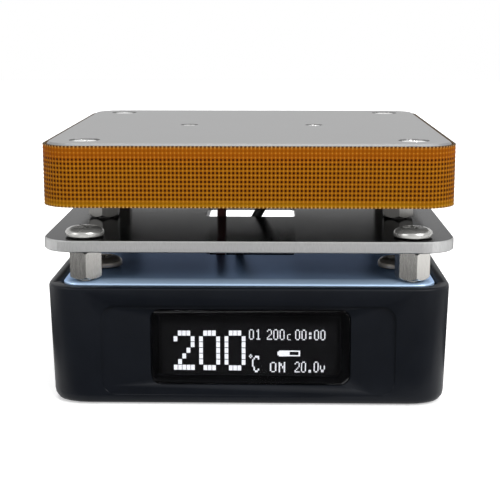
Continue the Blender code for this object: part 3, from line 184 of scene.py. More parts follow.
def calc(tree, operation, *values):
    made = tree.nodes.new("ShaderNodeMath")
    made.operation = operation
    for socket, value in zip(made.inputs, values):
        if isinstance(value, bpy.types.NodeSocket):
            tree.links.new(value, socket)
        else:
            socket.default_value = value
    return made.outputs[0]


def noise(tree, coordinates, scale, detail=3.0, roughness=0.55):
    sizes = {"Scale": scale, "Detail": detail, "Roughness": roughness}
    return node(tree, "ShaderNodeTexNoise", Vector=coordinates, **sizes).outputs["Fac"]


def stretched(tree, coordinates, scale):
    """The coordinates, scaled by a different amount along each axis."""
    return node(tree, "ShaderNodeMapping", Vector=coordinates, Scale=scale).outputs[0]


def ramp(tree, factor, stops):
    """A colour ramp through (place, colour or grey) stops."""
    made = node(tree, "ShaderNodeValToRGB", Fac=factor)
    band = made.color_ramp
    while len(band.elements) < len(stops):
        band.elements.new(0.5)
    for element, (place, colour) in zip(band.elements, stops):
        grey = not hasattr(colour, "__len__")
        element.position = place
        element.color = (colour, colour, colour, 1.0) if grey else (*colour, 1.0)
    return made.outputs["Color"]


def shade(colour, factor):
    return [channel * factor for channel in colour]


def mixed(tree, factor, first, second):
    made = tree.nodes.new("ShaderNodeMix")
    made.data_type = "RGBA"
    for index, value in ((0, factor), (6, first), (7, second)):
        if isinstance(value, bpy.types.NodeSocket):
            tree.links.new(value, made.inputs[index])
        elif index == 0:
            made.inputs[index].default_value = value
        else:
            made.inputs[index].default_value = (*value, 1.0)
    return made.outputs[2]


def between(tree, value, low, high):
    """Maps 0..1 to low..high."""
    return node(tree, "ShaderNodeMapRange", _0=value, _3=low, _4=high).outputs[0]


def within(tree, value, low, high, **settings):
    """Maps low..high to 0..1."""
    return node(tree, "ShaderNodeMapRange", settings, _0=value, _1=low, _2=high).outputs[0]


def relief(tree, height, distance):
    return node(tree, "ShaderNodeBump", Height=height, Distance=distance, Strength=1.0).outputs[0]


def facing_up(tree, kind="True Normal"):
    """The upward part of the surface's normal."""
    normal = tree.nodes.new("ShaderNodeNewGeometry").outputs[kind]
    return node(tree, "ShaderNodeSeparateXYZ", _0=normal).outputs[2]


def brush_lines(tree, place, run):
    """Fine straight lines along x or z."""
    along = BRUSH_STRETCH / BRUSH_PITCH
    across = 1.0 / BRUSH_PITCH
    scale = (along, across, across) if run == "x" else (across, across, along)
    return noise(tree, stretched(tree, place, scale), 1.0, 3.0, 0.6)


def shown_rays(tree):
    """1 for rays from the camera, a reflection or glass, otherwise 0."""
    seen = tree.nodes.new("ShaderNodeLightPath").outputs
    indirect = calc(tree, "MAXIMUM", seen["Is Glossy Ray"], seen["Is Transmission Ray"])
    return calc(tree, "MAXIMUM", seen["Is Camera Ray"], indirect)


class Finish:
    """A Principled material whose colour, roughness and bump come from nodes."""

    def __init__(self, name, metallic=0.0, **sockets):
        self.material = bpy.data.materials.new(name)
        self.material.use_nodes = True
        self.tree = self.material.node_tree
        self.shader = self.tree.nodes["Principled BSDF"]
        self.shader.inputs["Metallic"].default_value = metallic
        for key, value in sockets.items():
            self.shader.inputs[key.replace("_", " ")].default_value = value
        self.place = self.tree.nodes.new("ShaderNodeTexCoord").outputs["Object"]

    def feed(self, **inputs):
        for key, value in inputs.items():
            self.tree.links.new(value, self.shader.inputs[key.replace("_", " ")])
        return self.material


def moulded_plastic(name, colour, roughness, **sockets):
    """Spark-eroded plastic: fine even grain, faint clouding and a few smudges."""
    made = Finish(name, **sockets)
    tree = made.tree
    cloud = noise(tree, made.place, 120.0, 4.0)
    fine = noise(tree, made.place, 1.0 / PLASTIC_GRAIN, 2.0)
    base = ramp(tree, cloud, [(0.3, shade(colour, 0.85)), (0.7, shade(colour, 1.18))])
    rough = between(tree, noise(tree, made.place, 260.0, 5.0), roughness - 0.06, roughness + 0.06)
    return made.feed(Base_Color=base, Roughness=rough, Normal=relief(tree, fine, PLASTIC_LIFT))


def brushed_metal(name, colour, roughness, run, spread=0.10):
    """Metal with a straight grain along one axis and faint stains."""
    made = Finish(name, 1.0)
    tree = made.tree
    lines = brush_lines(tree, made.place, run)
    stains = noise(tree, made.place, 90.0, 5.0)
    dark = shade(colour, 1 - spread)
    lined = ramp(tree, lines, [(0.3, dark), (0.7, shade(colour, 1 + spread))])
    base = mixed(tree, between(tree, stains, 0.0, 0.25), lined, dark)
    rough = between(tree, lines, roughness - 0.07, roughness + 0.10)
    return made.feed(Base_Color=base, Roughness=rough, Normal=relief(tree, lines, 0.002 * MM))


def cast_metal(name, colour, roughness, metallic=1.0):
    """Plated steel: smooth, with faint clouding and small dull spots."""
    made = Finish(name, metallic)
    tree = made.tree
    cloud = noise(tree, made.place, 420.0, 4.0)
    fine = noise(tree, made.place, 5200.0, 3.0)
    base = ramp(tree, cloud, [(0.25, shade(colour, 0.78)), (0.7, colour)])
    rough = between(tree, noise(tree, made.place, 900.0, 4.0), roughness - 0.08, roughness + 0.12)
    return made.feed(Base_Color=base, Roughness=rough, Normal=relief(tree, fine, 0.0015 * MM))


def circuit_board(name, colour, trace_colour, up):
    """Solder mask over a lattice of copper traces."""
    made = Finish(name, Coat_Weight=0.3, Coat_Roughness=0.2)
    tree = made.tree
    turn = (0.0, 0.0, 0.0) if up == "z" else (math.pi / 2, 0.0, 0.0)
    flat = node(tree, "ShaderNodeMapping", Vector=made.place, Rotation=turn).outputs[0]
    settings = {"offset": 0.37, "offset_frequency": 3, "squash": 0.6, "squash_frequency": 2}
    brick = node(
        tree,
        "ShaderNodeTexBrick",
        settings,
        Vector=flat,
        Scale=160.0,
        Mortar_Size=0.035,
        Mortar_Smooth=0.25,
        Brick_Width=0.7,
        Row_Height=0.16,
    ).outputs["Fac"]
    cloud = noise(tree, made.place, 200.0, 3.0)
    mask = ramp(tree, cloud, [(0.3, shade(colour, 0.8)), (0.7, colour)])
    base = mixed(tree, brick, mask, trace_colour)
    rough = between(tree, cloud, 0.30, 0.45)
    return made.feed(Base_Color=base, Roughness=rough, Normal=relief(tree, brick, 0.03 * MM))


def fibre(name, dark, light, roughness):
    """A matted board of short fibres."""
    made = Finish(name)
    tree = made.tree
    strands = noise(tree, stretched(tree, made.place, (900.0, 2600.0, 2600.0)), 1.0, 5.0, 0.7)
    base = ramp(tree, strands, [(0.3, dark), (0.7, light)])
    rough = between(tree, strands, roughness - 0.05, roughness)
    return made.feed(Base_Color=base, Roughness=rough, Normal=relief(tree, strands, 0.08 * MM))


def faces_and_edges(name, face_colour, face_rough, edge_colour, edge_rough, under=None, **sockets):
    """Sheet metal with one finish on its flat faces and another on its edges; the lower face may take a
    darker colour, painted as shade.
    """
    made = Finish(name, 1.0, **sockets)
    tree = made.tree
    facing = facing_up(tree)
    edge = within(tree, calc(tree, "ABSOLUTE", facing), 0.97, 0.80)
    lines = brush_lines(tree, made.place, "x")
    sawn = noise(tree, stretched(tree, made.place, (9000.0, 9000.0, 1200.0)), 1.0, 3.0, 0.6)
    stains = noise(tree, made.place, 110.0, 5.0)
    face = ramp(tree, lines, [(0.3, shade(face_colour, 0.94)), (0.7, shade(face_colour, 1.05))])
    face = mixed(tree, between(tree, stains, 0.0, 0.22), face, shade(face_colour, 0.82))
    # Painted shade: the lower face takes its own darker colour.
    if under is not None:
        face = mixed(tree, calc(tree, "LESS_THAN", facing, -0.5), face, under)
    rim = ramp(tree, sawn, [(0.25, shade(edge_colour, 0.86)), (0.75, shade(edge_colour, 1.08))])
    base = mixed(tree, edge, face, rim)
    rough_face = between(tree, lines, face_rough - 0.04, face_rough + 0.08)
    rough = node(tree, "ShaderNodeMapRange", _0=edge, _3=rough_face, _4=edge_rough).outputs[0]
    grain = calc(tree, "ADD", lines, calc(tree, "MULTIPLY", edge, sawn))
    return made.feed(Base_Color=base, Roughness=rough, Normal=relief(tree, grain, 0.0015 * MM))


def woven_cloth():
    """Amber glass cloth in plain weave, read from the band's own map of threads and rows."""
    made = Finish("amber_glass_cloth", Specular_IOR_Level=0.03)
    tree = made.tree
    threads = node(tree, "ShaderNodeUVMap").outputs[0]
    split = node(tree, "ShaderNodeSeparateXYZ", _0=threads).outputs
    across = calc(tree, "ABSOLUTE", calc(tree, "SUBTRACT", calc(tree, "FRACT", split[0]), 0.5))
    down = calc(tree, "ABSOLUTE", calc(tree, "SUBTRACT", calc(tree, "FRACT", split[1]), 0.5))
    hole_across = within(tree, across, 0.36, 0.17, interpolation_type="SMOOTHSTEP")
    hole_down = within(tree, down, 0.36, 0.17, interpolation_type="SMOOTHSTEP")
    hole = calc(tree, "MULTIPLY", hole_across, hole_down)
    crest = calc(tree, "MULTIPLY", across, down)
    place = node(tree, "ShaderNodeSeparateXYZ", _0=made.place).outputs[2]
    low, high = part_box("fabric_band")
    level = within(tree, place, low.z, high.z)
    cloud = noise(tree, made.place, 260.0, 4.0)
    fine = noise(tree, made.place, 5200.0, 3.0)
    thread = ramp(tree, level, [
        (0.00, (0.29, 0.155, 0.003)),
        (0.14, (0.22, 0.080, 0.001)),
        (0.70, (0.24, 0.084, 0.001)),
        (0.82, (0.25, 0.064, 0.001)),
        (1.00, (0.25, 0.070, 0.001)),
    ])
    thread = mixed(tree, between(tree, cloud, 0.0, 0.65), thread, (0.20, 0.050, 0.001))
    # Painted highlights: bright glints laid into the thread colour where the threads cross.
    glint = within(tree, crest, 0.10, 0.25)
    thread = mixed(tree, calc(tree, "MULTIPLY", glint, fine), thread, (0.70, 0.36, 0.04))
    # Painted shade: the gaps between the threads are painted near black, fully in the middle rows and less
    # near the top and bottom.
    hole_shade_share = ramp(tree, level, [(0.06, 0.25), (0.15, 1.0), (0.78, 1.0), (0.84, 0.35), (0.96, 0.20)])
    base = mixed(tree, calc(tree, "MULTIPLY", hole, hole_shade_share), thread, (0.018, 0.002, 0.0005))
    # Painted highlights: light dots at the threads along the top and bottom rows, and on the band's upper and
    # lower faces, which are otherwise dark.
    at_edge = ramp(tree, level, [(0.004, 1.0), (0.035, 0.0), (0.965, 0.0), (0.996, 1.0)])
    dots = within(tree, across, 0.22, 0.42)
    edge_glints = mixed(tree, dots, (0.06, 0.020, 0.003), (0.42, 0.25, 0.08))
    base = mixed(tree, at_edge, base, edge_glints)
    rim = within(tree, calc(tree, "ABSOLUTE", facing_up(tree)), 0.90, 0.99)
    base = mixed(tree, rim, base, mixed(tree, dots, (0.012, 0.006, 0.003), (0.10, 0.07, 0.04)))
    rough = between(tree, fine, 0.50, 0.70)
    return made.feed(Base_Color=base, Roughness=rough, Normal=relief(tree, fine, 0.01 * MM))


def lacquered_panel():
    """Blue-grey lacquer with a fine sparkle; painted light makes it paler where the edge rounds over."""
    made = Finish("blue_grey_panel", 0.55, Specular_IOR_Level=0.2, Specular_Tint=(0.30, 0.45, 0.75, 1.0))
    tree = made.tree
    cloud = noise(tree, made.place, 60.0, 4.0)
    fine = noise(tree, made.place, 9000.0, 2.0)
    base = ramp(tree, cloud, [(0.3, (0.240, 0.375, 0.580)), (0.7, (0.280, 0.425, 0.640))])
    base = mixed(tree, between(tree, fine, 0.0, 0.30), base, (0.33, 0.48, 0.70))
    # Painted light: the rounded edge is painted paler, as where light falls on it.
    edge = within(tree, facing_up(tree, "Normal"), 0.9994, 0.996)
    base = mixed(tree, edge, base, mixed(tree, cloud, (0.45, 0.61, 0.82), (0.51, 0.68, 0.90)))
    rough = between(tree, cloud, 0.26, 0.34)
    return made.feed(Base_Color=base, Roughness=rough, Normal=relief(tree, fine, 0.0006 * MM))


def silicone(name, colour):
    made = Finish(name, Sheen_Weight=0.15)
    tree = made.tree
    cloud = noise(tree, made.place, 500.0, 4.0)
    base = ramp(tree, cloud, [(0.3, shade(colour, 0.8)), (0.7, shade(colour, 1.15))])
    rough = between(tree, cloud, 0.40, 0.55)
    return made.feed(Base_Color=base, Roughness=rough, Normal=relief(tree, cloud, 0.01 * MM))


def smoked_acrylic():
    """A clear smoked window, darkened a little more in faint streaks."""
    made = Finish("smoked_acrylic", Transmission_Weight=0.995, IOR=1.45)
    tree = made.tree
    haze = noise(tree, made.place, 700.0, 3.0)
    base = ramp(tree, haze, [(0.3, (0.32, 0.32, 0.34)), (0.7, (0.35, 0.35, 0.37))])
    rough = between(tree, haze, 0.0, 0.03)
    return made.feed(Base_Color=base, Roughness=rough)


def display_glass():
    """Dark glass with a faint painted glow over the display's own area, whose unlit pixels give no light of
    their own.
    """
    made = Finish("display_glass", Emission_Strength=PAINTED_DISPLAY_GLOW)
    tree = made.tree
    split = node(tree, "ShaderNodeSeparateXYZ", _0=made.place).outputs
    inside = []
    for value, (low, high), edge in ((split[0], PIXEL_AREA_X, 0.3 * MM), (split[2], PIXEL_AREA_Z, 0.2 * MM)):
        away = calc(tree, "ABSOLUTE", calc(tree, "SUBTRACT", value, (low + high) / 2))
        half = (high - low) / 2
        inside.append(within(tree, away, half + edge, half - edge))
    area = calc(tree, "MULTIPLY", *inside)
    # Painted glow: the display's area emits faintly though its pixels are unlit.
    fine = noise(tree, made.place, 4000.0, 2.0)
    glow = mixed(tree, fine, (0.8, 0.8, 0.82), (1.0, 1.0, 1.0))
    cloud = noise(tree, made.place, 300.0)
    base = ramp(tree, cloud, [(0.3, (0.005, 0.005, 0.006)), (0.7, (0.009, 0.009, 0.010))])
    return made.feed(Base_Color=base, Emission_Color=mixed(tree, area, (0.0, 0.0, 0.0), glow))


def lit_pixels():
    made = Finish("lit_pixels", Emission_Strength=PIXEL_GLOW)
    tree = made.tree
    haze = noise(tree, made.place, 3000.0, 2.0)
    glow = ramp(tree, haze, [(0.2, (0.90, 0.93, 0.95)), (0.8, (1.0, 1.0, 1.0))])
    return made.feed(Emission_Color=glow, Base_Color=glow)


# Mesh helpers

def add_object(name, data):
    item = bpy.data.objects.new(name, data)
    bpy.context.scene.collection.objects.link(item)
    return item


def finished(mesh, name, *materials):
    """A mesh from a closed bmesh, which is freed."""
    data = bpy.data.meshes.new(name)
    bmesh.ops.recalc_face_normals(mesh, faces=mesh.faces)
    mesh.to_mesh(data)
    mesh.free()
    for material in materials:
        data.materials.append(material)
    return data


def make_piece(name, data, body=ROOT, place=(0.0, 0.0, 0.0), turn=0.0, sharp=35.0):
    """Makes a smooth-shaded piece from a mesh and lets it ride on a body."""
    data.shade_smooth()
    data.set_sharp_from_angle(angle=math.radians(sharp))
    item = add_object(name, data)
    item.location = place
    item.rotation_euler = (0.0, 0.0, turn)
    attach(item, body)
    return item


def loft(mesh, rings):
    """Adds a closed body through rings of points of equal count."""
    made = [[mesh.verts.new(point) for point in ring] for ring in rings]
    for low, high in zip(made, made[1:]):
        for i in range(len(low)):
            j = (i + 1) % len(low)
            mesh.faces.new((low[i], low[j], high[j], high[i]))
    mesh.faces.new(list(reversed(made[0])))
    mesh.faces.new(made[-1])


def turned(mesh, profile, steps=HEAD_STEPS, middle=(0.0, 0.0)):
    """Adds a turned body from (radius, height) pairs."""
    turns = [2 * math.pi * i / steps for i in range(steps)]
    rings = []
    for radius, z in profile:
        rings.append([(middle[0] + radius * math.cos(a), middle[1] + radius * math.sin(a), z) for a in turns])
    loft(mesh, rings)


def arc(middle, radius, start, end, steps):
    """Points on an arc, for profiles."""
    return [
        (middle[0] + radius[0] * math.cos(a), middle[1] + radius[1] * math.sin(a))
        for a in (start + (end - start) * i / steps for i in range(steps + 1))
    ]


def cut(mesh, cutter):
    """The first bmesh less the second, as a new mesh."""
    pieces = [add_object("part", finished(part, "part")) for part in (mesh, cutter)]
    change = pieces[0].modifiers.new("cut", "BOOLEAN")
    change.operation = "DIFFERENCE"
    change.object = pieces[1]
    bpy.context.view_layer.update()
    view = bpy.context.evaluated_depsgraph_get()
    result = bpy.data.meshes.new_from_object(pieces[0].evaluated_get(view))
    for item in pieces:
        data = item.data
        bpy.data.objects.remove(item)
        bpy.data.meshes.remove(data)
    return result


def cylinders(middles, radius, low, high, sides=32):
    """Round cutters at the given middles, as one bmesh."""
    mesh = bmesh.new()
    for middle in middles:
        turned(mesh, [(radius, low), (radius, high)], sides, middle)
    return mesh


def rounded(width, depth, corner, steps=14):
    """The outline of a rectangle with rounded corners."""
    points = []
    for quarter, (sx, sy) in enumerate(((1, 1), (-1, 1), (-1, -1), (1, -1))):
        for i in range(steps + 1):
            angle = math.pi / 2 * (quarter + i / steps)
            x = sx * (width / 2 - corner) + corner * math.cos(angle)
            y = sy * (depth / 2 - corner) + corner * math.sin(angle)
            points.append((x, y))
    return points


def slab(width, depth, corner, low, high, low_edge, high_edge, steps):
    """A plate with rounded corners and edges; the upper edge has its own inset and drop."""
    levels = []
    for i in range(steps + 1):
        angle = math.pi / 2 * i / steps
        levels.append((low_edge * (1 - math.sin(angle)), low + low_edge * (1 - math.cos(angle))))
    for i in range(steps + 1):
        angle = math.pi / 2 * i / steps
        levels.append((high_edge[0] * (1 - math.cos(angle)), high - high_edge[1] * (1 - math.sin(angle))))
    rings = []
    for inset, z in levels:
        outline = rounded(width - 2 * inset, depth - 2 * inset, corner - inset)
        rings.append([(x, y, z) for x, y in outline])
    mesh = bmesh.new()
    loft(mesh, rings)
    return mesh


def housing_fitted(place):
    """The housing as the photograph shows it: wider, lower, with the display further to the right."""
    share = min(1.0, max(0.0, (abs(place.x) - WIDENED_FROM) / WIDENED_OVER))
    wider = HOUSING_WIDER + WIDER_BELOW * (1 - place.z / HOUSING_TOP)
    low, high = OPENING_LEVELS
    if place.y < FRONT_WALL_BACK and abs(place.x) < OPENING_HALF and low < place.z < high:
        place.x += OPENING_SHIFT
    place.x += math.copysign(wider * share, place.x)
    place.z -= HOUSING_LOWER * min(1.0, max(0.0, FOOT_OF_WALL - place.z) / LOWERED_OVER)


def lens_fitted(place):
    """The lens stands where the housing's opening does."""
    place.x += OPENING_SHIFT


def smooth_copy(name, material, body=ROOT, sharp=38.0, fitted=None):
    """A CAD node's own form, shaded smoothly; its vertices may be fitted to the photograph."""
    mesh = bmesh.new()
    mesh.from_mesh(nodes[name].data)
    bmesh.ops.remove_doubles(mesh, verts=mesh.verts, dist=0.002 * MM)
    if fitted:
        for vert in mesh.verts:
            fitted(vert.co)
    data = bpy.data.meshes.new(f"{name}_smooth")
    mesh.to_mesh(data)
    mesh.free()
    data.materials.clear()
    data.materials.append(material)
    item = make_piece(f"{name}_smooth", data, body, sharp=sharp)
    for polygon in data.polygons:
        polygon.material_index = 0
    change = item.modifiers.new("even_normals", "WEIGHTED_NORMAL")
    change.keep_sharp = True
    change.weight = 100
    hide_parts(name)


# The woven band

def band_point(distance, width, depth, corner):
    """A point and its outward direction on a rounded rectangle, a distance along its outline."""
    straight_x = width - 2 * corner
    straight_y = depth - 2 * corner
    bend = math.pi * corner / 2
    sides = ((straight_x, (0, -1), (1, 0)), (straight_y, (1, 0), (0, 1)))
    sides = sides + tuple((length, (-o[0], -o[1]), (-t[0], -t[1])) for length, o, t in sides)
    left = distance
    for length, out, way in sides:
        reach = depth / 2 if out[0] == 0 else width / 2
        if left <= length:
            shift = left - length / 2
            return (out[0] * reach + way[0] * shift, out[1] * reach + way[1] * shift), out
        left -= length
        if left <= bend:
            angle = math.atan2(out[1], out[0]) + left / corner
            middle = [o * (reach - corner) + w * length / 2 for o, w in zip(out, way)]
            direction = (math.cos(angle), math.sin(angle))
            return tuple(m + corner * d for m, d in zip(middle, direction)), direction
        left -= bend
    return band_point(0.0, width, depth, corner)


def weave_height(column, row):
    """Height of a plain weave: each thread has a rounded top and rides over and under its neighbours."""
    heights = [-THREAD_CROWN]
    for own, other, rise in ((column, row, WEAVE_RISE), (row, column, -WEAVE_RISE)):
        near = round(own)
        aside = (own - near) / THREAD_HALF_WIDTH
        if abs(aside) < 1:
            crown = THREAD_CROWN * math.sqrt(1 - aside * aside)
            heights.append(rise * math.cos(math.pi * (near + other)) + crown)
    return max(heights)


def build_band():
    """The cloth band as one closed woven sheet, with its relief on the outside."""
    low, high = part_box("fabric_band")
    width = high.x - low.x
    depth = high.y - low.y
    corner = BAND_CORNER
    round_it = 2 * (width + depth) - 8 * corner + 2 * math.pi * corner
    columns = 2 * round(round_it / THREAD_PITCH / 2)
    rows = round((high.z - low.z) / ROW_PITCH)
    row_height = (high.z - low.z) / rows
    top = THREAD_CROWN + WEAVE_RISE
    mesh = bmesh.new()
    threads = mesh.loops.layers.uv.new("UVMap")
    count = columns * WEAVE_STEPS
    levels = rows * WEAVE_STEPS
    grid = []
    for i in range(count):
        column = i / WEAVE_STEPS
        (x, y), out = band_point(round_it * i / count, width, depth, corner)
        line = []
        for j in range(levels + 1):
            row = j / WEAVE_STEPS
            sink = weave_height(column, row) - top
            line.append(mesh.verts.new((x + out[0] * sink, y + out[1] * sink, low.z + row * row_height)))
        inside = (x - out[0] * CLOTH_THICK, y - out[1] * CLOTH_THICK)
        line.append(mesh.verts.new((*inside, high.z)))
        line.append(mesh.verts.new((*inside, low.z)))
        grid.append(line)
    for i, line in enumerate(grid):
        following = grid[(i + 1) % count]
        for j in range(len(line)):
            k = (j + 1) % len(line)
            face = mesh.faces.new((line[j], following[j], following[k], line[k]))
            spots = (i, j), (i + 1, j), (i + 1, j + 1), (i, j + 1)
            for loop, (a, b) in zip(face.loops, spots):
                loop[threads].uv = (a / WEAVE_STEPS + 0.5, min(b, levels) / WEAVE_STEPS + 0.5)
    band = make_piece("woven_band", finished(mesh, "woven_band", woven_cloth()), sharp=80.0)
    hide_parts("fabric_band")


# Screws and hex bars

def cross_cutter(reach, width, top, depth):
    """A tapered cross, for the recess of a screw's head."""
    mesh = bmesh.new()
    outline = []
    for quarter in range(4):
        turn = Matrix.Rotation(quarter * math.pi / 2, 2)
        for point in ((reach, -width / 2), (reach, width / 2), (width / 2, width / 2)):
            outline.append(turn @ Vector(point))
    low = [(p.x * CROSS_SIDE_DRAFT, p.y * CROSS_SIDE_DRAFT, top - depth) for p in outline]
    high = [(p.x, p.y, top + depth / 4) for p in outline]
    loft(mesh, [low, high])
    return mesh


def shank_profile(shank, length):
    return [(shank * 0.75, -length), (shank, -length + shank * 0.3)]


def pan_screw(sizes, material):
    """A domed head with a cross recess on a plain shank; its seat is at height 0."""
    head, height, shank, length = (value * MM for value in sizes)
    edge = 0.34 * height
    dome = arc((0.46 * head, edge), (0.54 * head, height - edge), 0.0, math.pi / 2, 10)
    profile = shank_profile(shank, length) + [(shank, 0.0), (head * 0.97, 0.0)]
    profile += [(head, 0.06 * height)] + dome + [(0.2 * head, height * 1.02)]
    mesh = bmesh.new()
    turned(mesh, profile)
    data = cut(mesh, cross_cutter(0.56 * head, 0.22 * head, height, 0.62 * height))
    data.materials.append(material)
    return data


def flat_screw(sizes, material):
    """A countersunk head with a faint crown and a cross recess, its highest point at height 0."""
    head, height, shank, length = (value * MM for value in sizes)
    profile = shank_profile(shank, length) + [(shank, -height), (head, -0.15 * height)]
    profile += [(head * share, -0.10 * height * share ** 2) for share in (0.995, 0.9, 0.7, 0.5, 0.3, 0.1)]
    mesh = bmesh.new()
    turned(mesh, profile)
    data = cut(mesh, cross_cutter(0.62 * head, 0.24 * head, 0.0, 0.7 * height))
    data.materials.append(material)
    return data


def place_screws(prefix, data, height=0.0, upside_down=False):
    """Puts a shared screw mesh at each CAD node whose name starts with the prefix, each turned its own way.

    The seat is the head's height below the node's top, or above its bottom.
    """
    for index, name in enumerate(sorted(starting(prefix))):
        low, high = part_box(name)
        seat = low.z + height * MM if upside_down else high.z - height * MM
        turn = FIRST_TURN + TURN_BETWEEN * index
        place = (*centre_of(name).xy, seat)
        item = make_piece(f"{name}_detailed", data, place=place, turn=turn)
        if upside_down:
            item.rotation_euler = (math.pi, 0.0, turn)
            bpy.context.view_layer.update()
        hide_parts(name)


def hex_bar(height, turn, material, stud_below=0.0, stud_above=0.0, bore_below=0.0, bore_above=0.0):
    """A hex bar from height 0 up, with turned end chamfers, and a stud or a bore at either end."""
    flat = HEX_ACROSS / 2
    corner = flat / math.cos(math.pi / 6)
    angles = [2 * math.pi * i / HEX_STEPS for i in range(HEX_STEPS)]

    def circle(radius, z):
        return [(radius * math.cos(a + turn), radius * math.sin(a + turn), z) for a in angles]

    def chamfered(level, sign):
        ring = []
        for angle in angles:
            radius = flat / math.cos((angle + math.pi / 6) % (math.pi / 3) - math.pi / 6)
            drop = HEX_CHAMFER * (radius - flat) / (corner - flat)
            way = angle + turn
            ring.append((radius * math.cos(way), radius * math.sin(way), level + sign * (drop + HEX_LAND)))
        return ring

    rings = []
    if bore_below:
        rings += [circle(BORE_RADIUS, bore_below), circle(BORE_RADIUS, 0.0)]
    if stud_below:
        rings += [circle(STUD_RADIUS * 0.85, -stud_below), circle(STUD_RADIUS, -stud_below + STUD_TIP)]
        rings += [circle(STUD_RADIUS, 0.0)]
    rings += [circle(flat * 0.99, 0.0), chamfered(0.0, 1), chamfered(height, -1), circle(flat * 0.99, height)]
    if bore_above:
        rings += [circle(BORE_RADIUS, height), circle(BORE_RADIUS, height - bore_above)]
    if stud_above:
        rings += [circle(STUD_RADIUS, height), circle(STUD_RADIUS, height + stud_above - STUD_TIP)]
        rings += [circle(STUD_RADIUS * 0.85, height + stud_above)]
    mesh = bmesh.new()
    loft(mesh, rings)
    return finished(mesh, "hex_bar", material)


def place_hexes(prefix, data, below):
    for name in sorted(starting(prefix)):
        place = (*centre_of(name).xy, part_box(name)[0].z + below)
        item = make_piece(f"{name}_detailed", data, place=place, sharp=25.0)
        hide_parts(name)


# Leads

def smooth_route(points):
    """A smooth curve through the route's own points."""
    places = [Vector(p) * MM for p in points]
    ends = [places[0] * 2 - places[1]] + places + [places[-1] * 2 - places[-2]]
    route = []
    for before, start, end, after in zip(ends, ends[1:], ends[2:], ends[3:]):
        handles = start + (end - before) / 6, end - (after - start) / 6
        route.extend(geometry.interpolate_bezier(start, *handles, end, 9)[:-1])
    route.append(places[-1])
    return route


def build_leads():
    looks = {
        "red_silicone": silicone("red_silicone", (0.085, 0.007, 0.008)),
        "black_silicone": silicone("black_silicone", (0.010, 0.010, 0.011)),
        "white_sleeve": silicone("white_sleeve", (0.62, 0.60, 0.55)),
    }
    for name, (radius, look, points) in LEADS.items():
        route = smooth_route(points)
        rings = []
        side = Vector((0.0, 1.0, 0.0))
        for i, point in enumerate(route):
            way = (route[min(i + 1, len(route) - 1)] - route[max(i - 1, 0)]).normalized()
            side = (side - way * side.dot(way)).normalized()
            up = way.cross(side)
            turns = [2 * math.pi * k / WIRE_SIDES for k in range(WIRE_SIDES)]
            rings.append([point + radius * (math.cos(a) * side + math.sin(a) * up) for a in turns])
        mesh = bmesh.new()
        loft(mesh, rings)
        item = make_piece(f"{name}_wire", finished(mesh, name, looks[look]), sharp=50.0)
        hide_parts(name)


# Readout

BIG_TWO = (" ### ", "#   #", "    #", "   # ", "  #  ", " #   ", "#####")
BIG_ZERO = (" ### ", "#   #", "#   #", "#   #", "#   #", "#   #", " ### ")
SMALL = {
    "0": (" ## ", "#  #", "#  #", "#  #", "#  #", "#  #", "#  #", " ## "),
    "1": ("  # ", " ## ", "  # ", "  # ", "  # ", "  # ", "  # ", " ###"),
    "2": (" ## ", "#  #", "   #", "   #", "  # ", " #  ", "#   ", "####"),
    ":": ("    ", "    ", " ## ", " ## ", "    ", " ## ", " ## ", "    "),
    ".": ("    ", "    ", "    ", "    ", "    ", "    ", " ## ", " ## "),
    "v": ("    ", "    ", "    ", "#  #", "#  #", "#  #", " ## ", " ## "),
    "N": ("#  #", "## #", "## #", "# ##", "# ##", "#  #", "#  #", "#  #"),
    "O": (" ## ", "#  #", "#  #", "#  #", "#  #", "#  #", "#  #", " ## "),
    "C": (" ###", "#   ", "#   ", "#   ", "#   ", "#   ", "#   ", " ###"),
}
BAR = (
    " ##############",
    "########      #",
    "########      #",
    "########      #",
    " ##############",
)
DEGREE = (" # ", "# #", " # ")
CELSIUS = ("  ###", " #  #", "#    ", "#    ", "#    ", "#    ", " #   ", " #  #", "  ## ")

# Sizes and places on the display in millimetres: left, top, pixel size and, for text, the advance
BIG_LEFT = -11.06
BIG_TOP = 11.05
BIG_PIXEL = (0.634, 0.874)
BIG_ADVANCE = 3.77
BIG_SHARE = 0.87
UPPER_LINE = 11.16
LOWER_LINE = 6.31
SMALL_PIXEL = (0.19, 0.20)
SMALL_ADVANCE = 0.93
SMALL_SHARE = 0.84
TEXTS = (
    ("01", 0.08, UPPER_LINE, SMALL_PIXEL, SMALL_ADVANCE),
    ("200", 2.75, UPPER_LINE, SMALL_PIXEL, SMALL_ADVANCE),
    ("C", 5.72, UPPER_LINE - 0.70, (0.1375, 0.1125), 0.0),
    ("00:00", 6.90, UPPER_LINE, SMALL_PIXEL, SMALL_ADVANCE),
    ("ON", 3.20, LOWER_LINE, (0.25, 0.20), 1.3),
    ("20.0v", 6.88, LOWER_LINE, SMALL_PIXEL, SMALL_ADVANCE),
)
MARKS = (
    (BAR, 4.30, 7.96, (0.223, 0.175)),
    (DEGREE, 0.08, 7.43, (0.17, 0.20)),
    (CELSIUS, 0.55, 7.20, (0.21, 0.28)),
)


def add_pixels(mesh, rows, left, top, pixel, share=1.0):
    """Adds the lit pixels of a glyph, whose upper left corner is at (left, top), on the display's face."""
    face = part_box("display_panel")[0].y
    width, height = pixel
    for r, row in enumerate(rows):
        for c, mark in enumerate(row):
            if mark == "#":
                x = (left + c * width) * MM
                z = (top - (r + 1) * height) * MM
                w = width * share * MM
                h = height * share * MM
                corners = ((x, z), (x + w, z), (x + w, z + h), (x, z + h))
                back = [(a, face, b) for a, b in corners]
                front = [(a, face - PIXEL_LIFT, b) for a, b in corners]
                loft(mesh, [back, front])


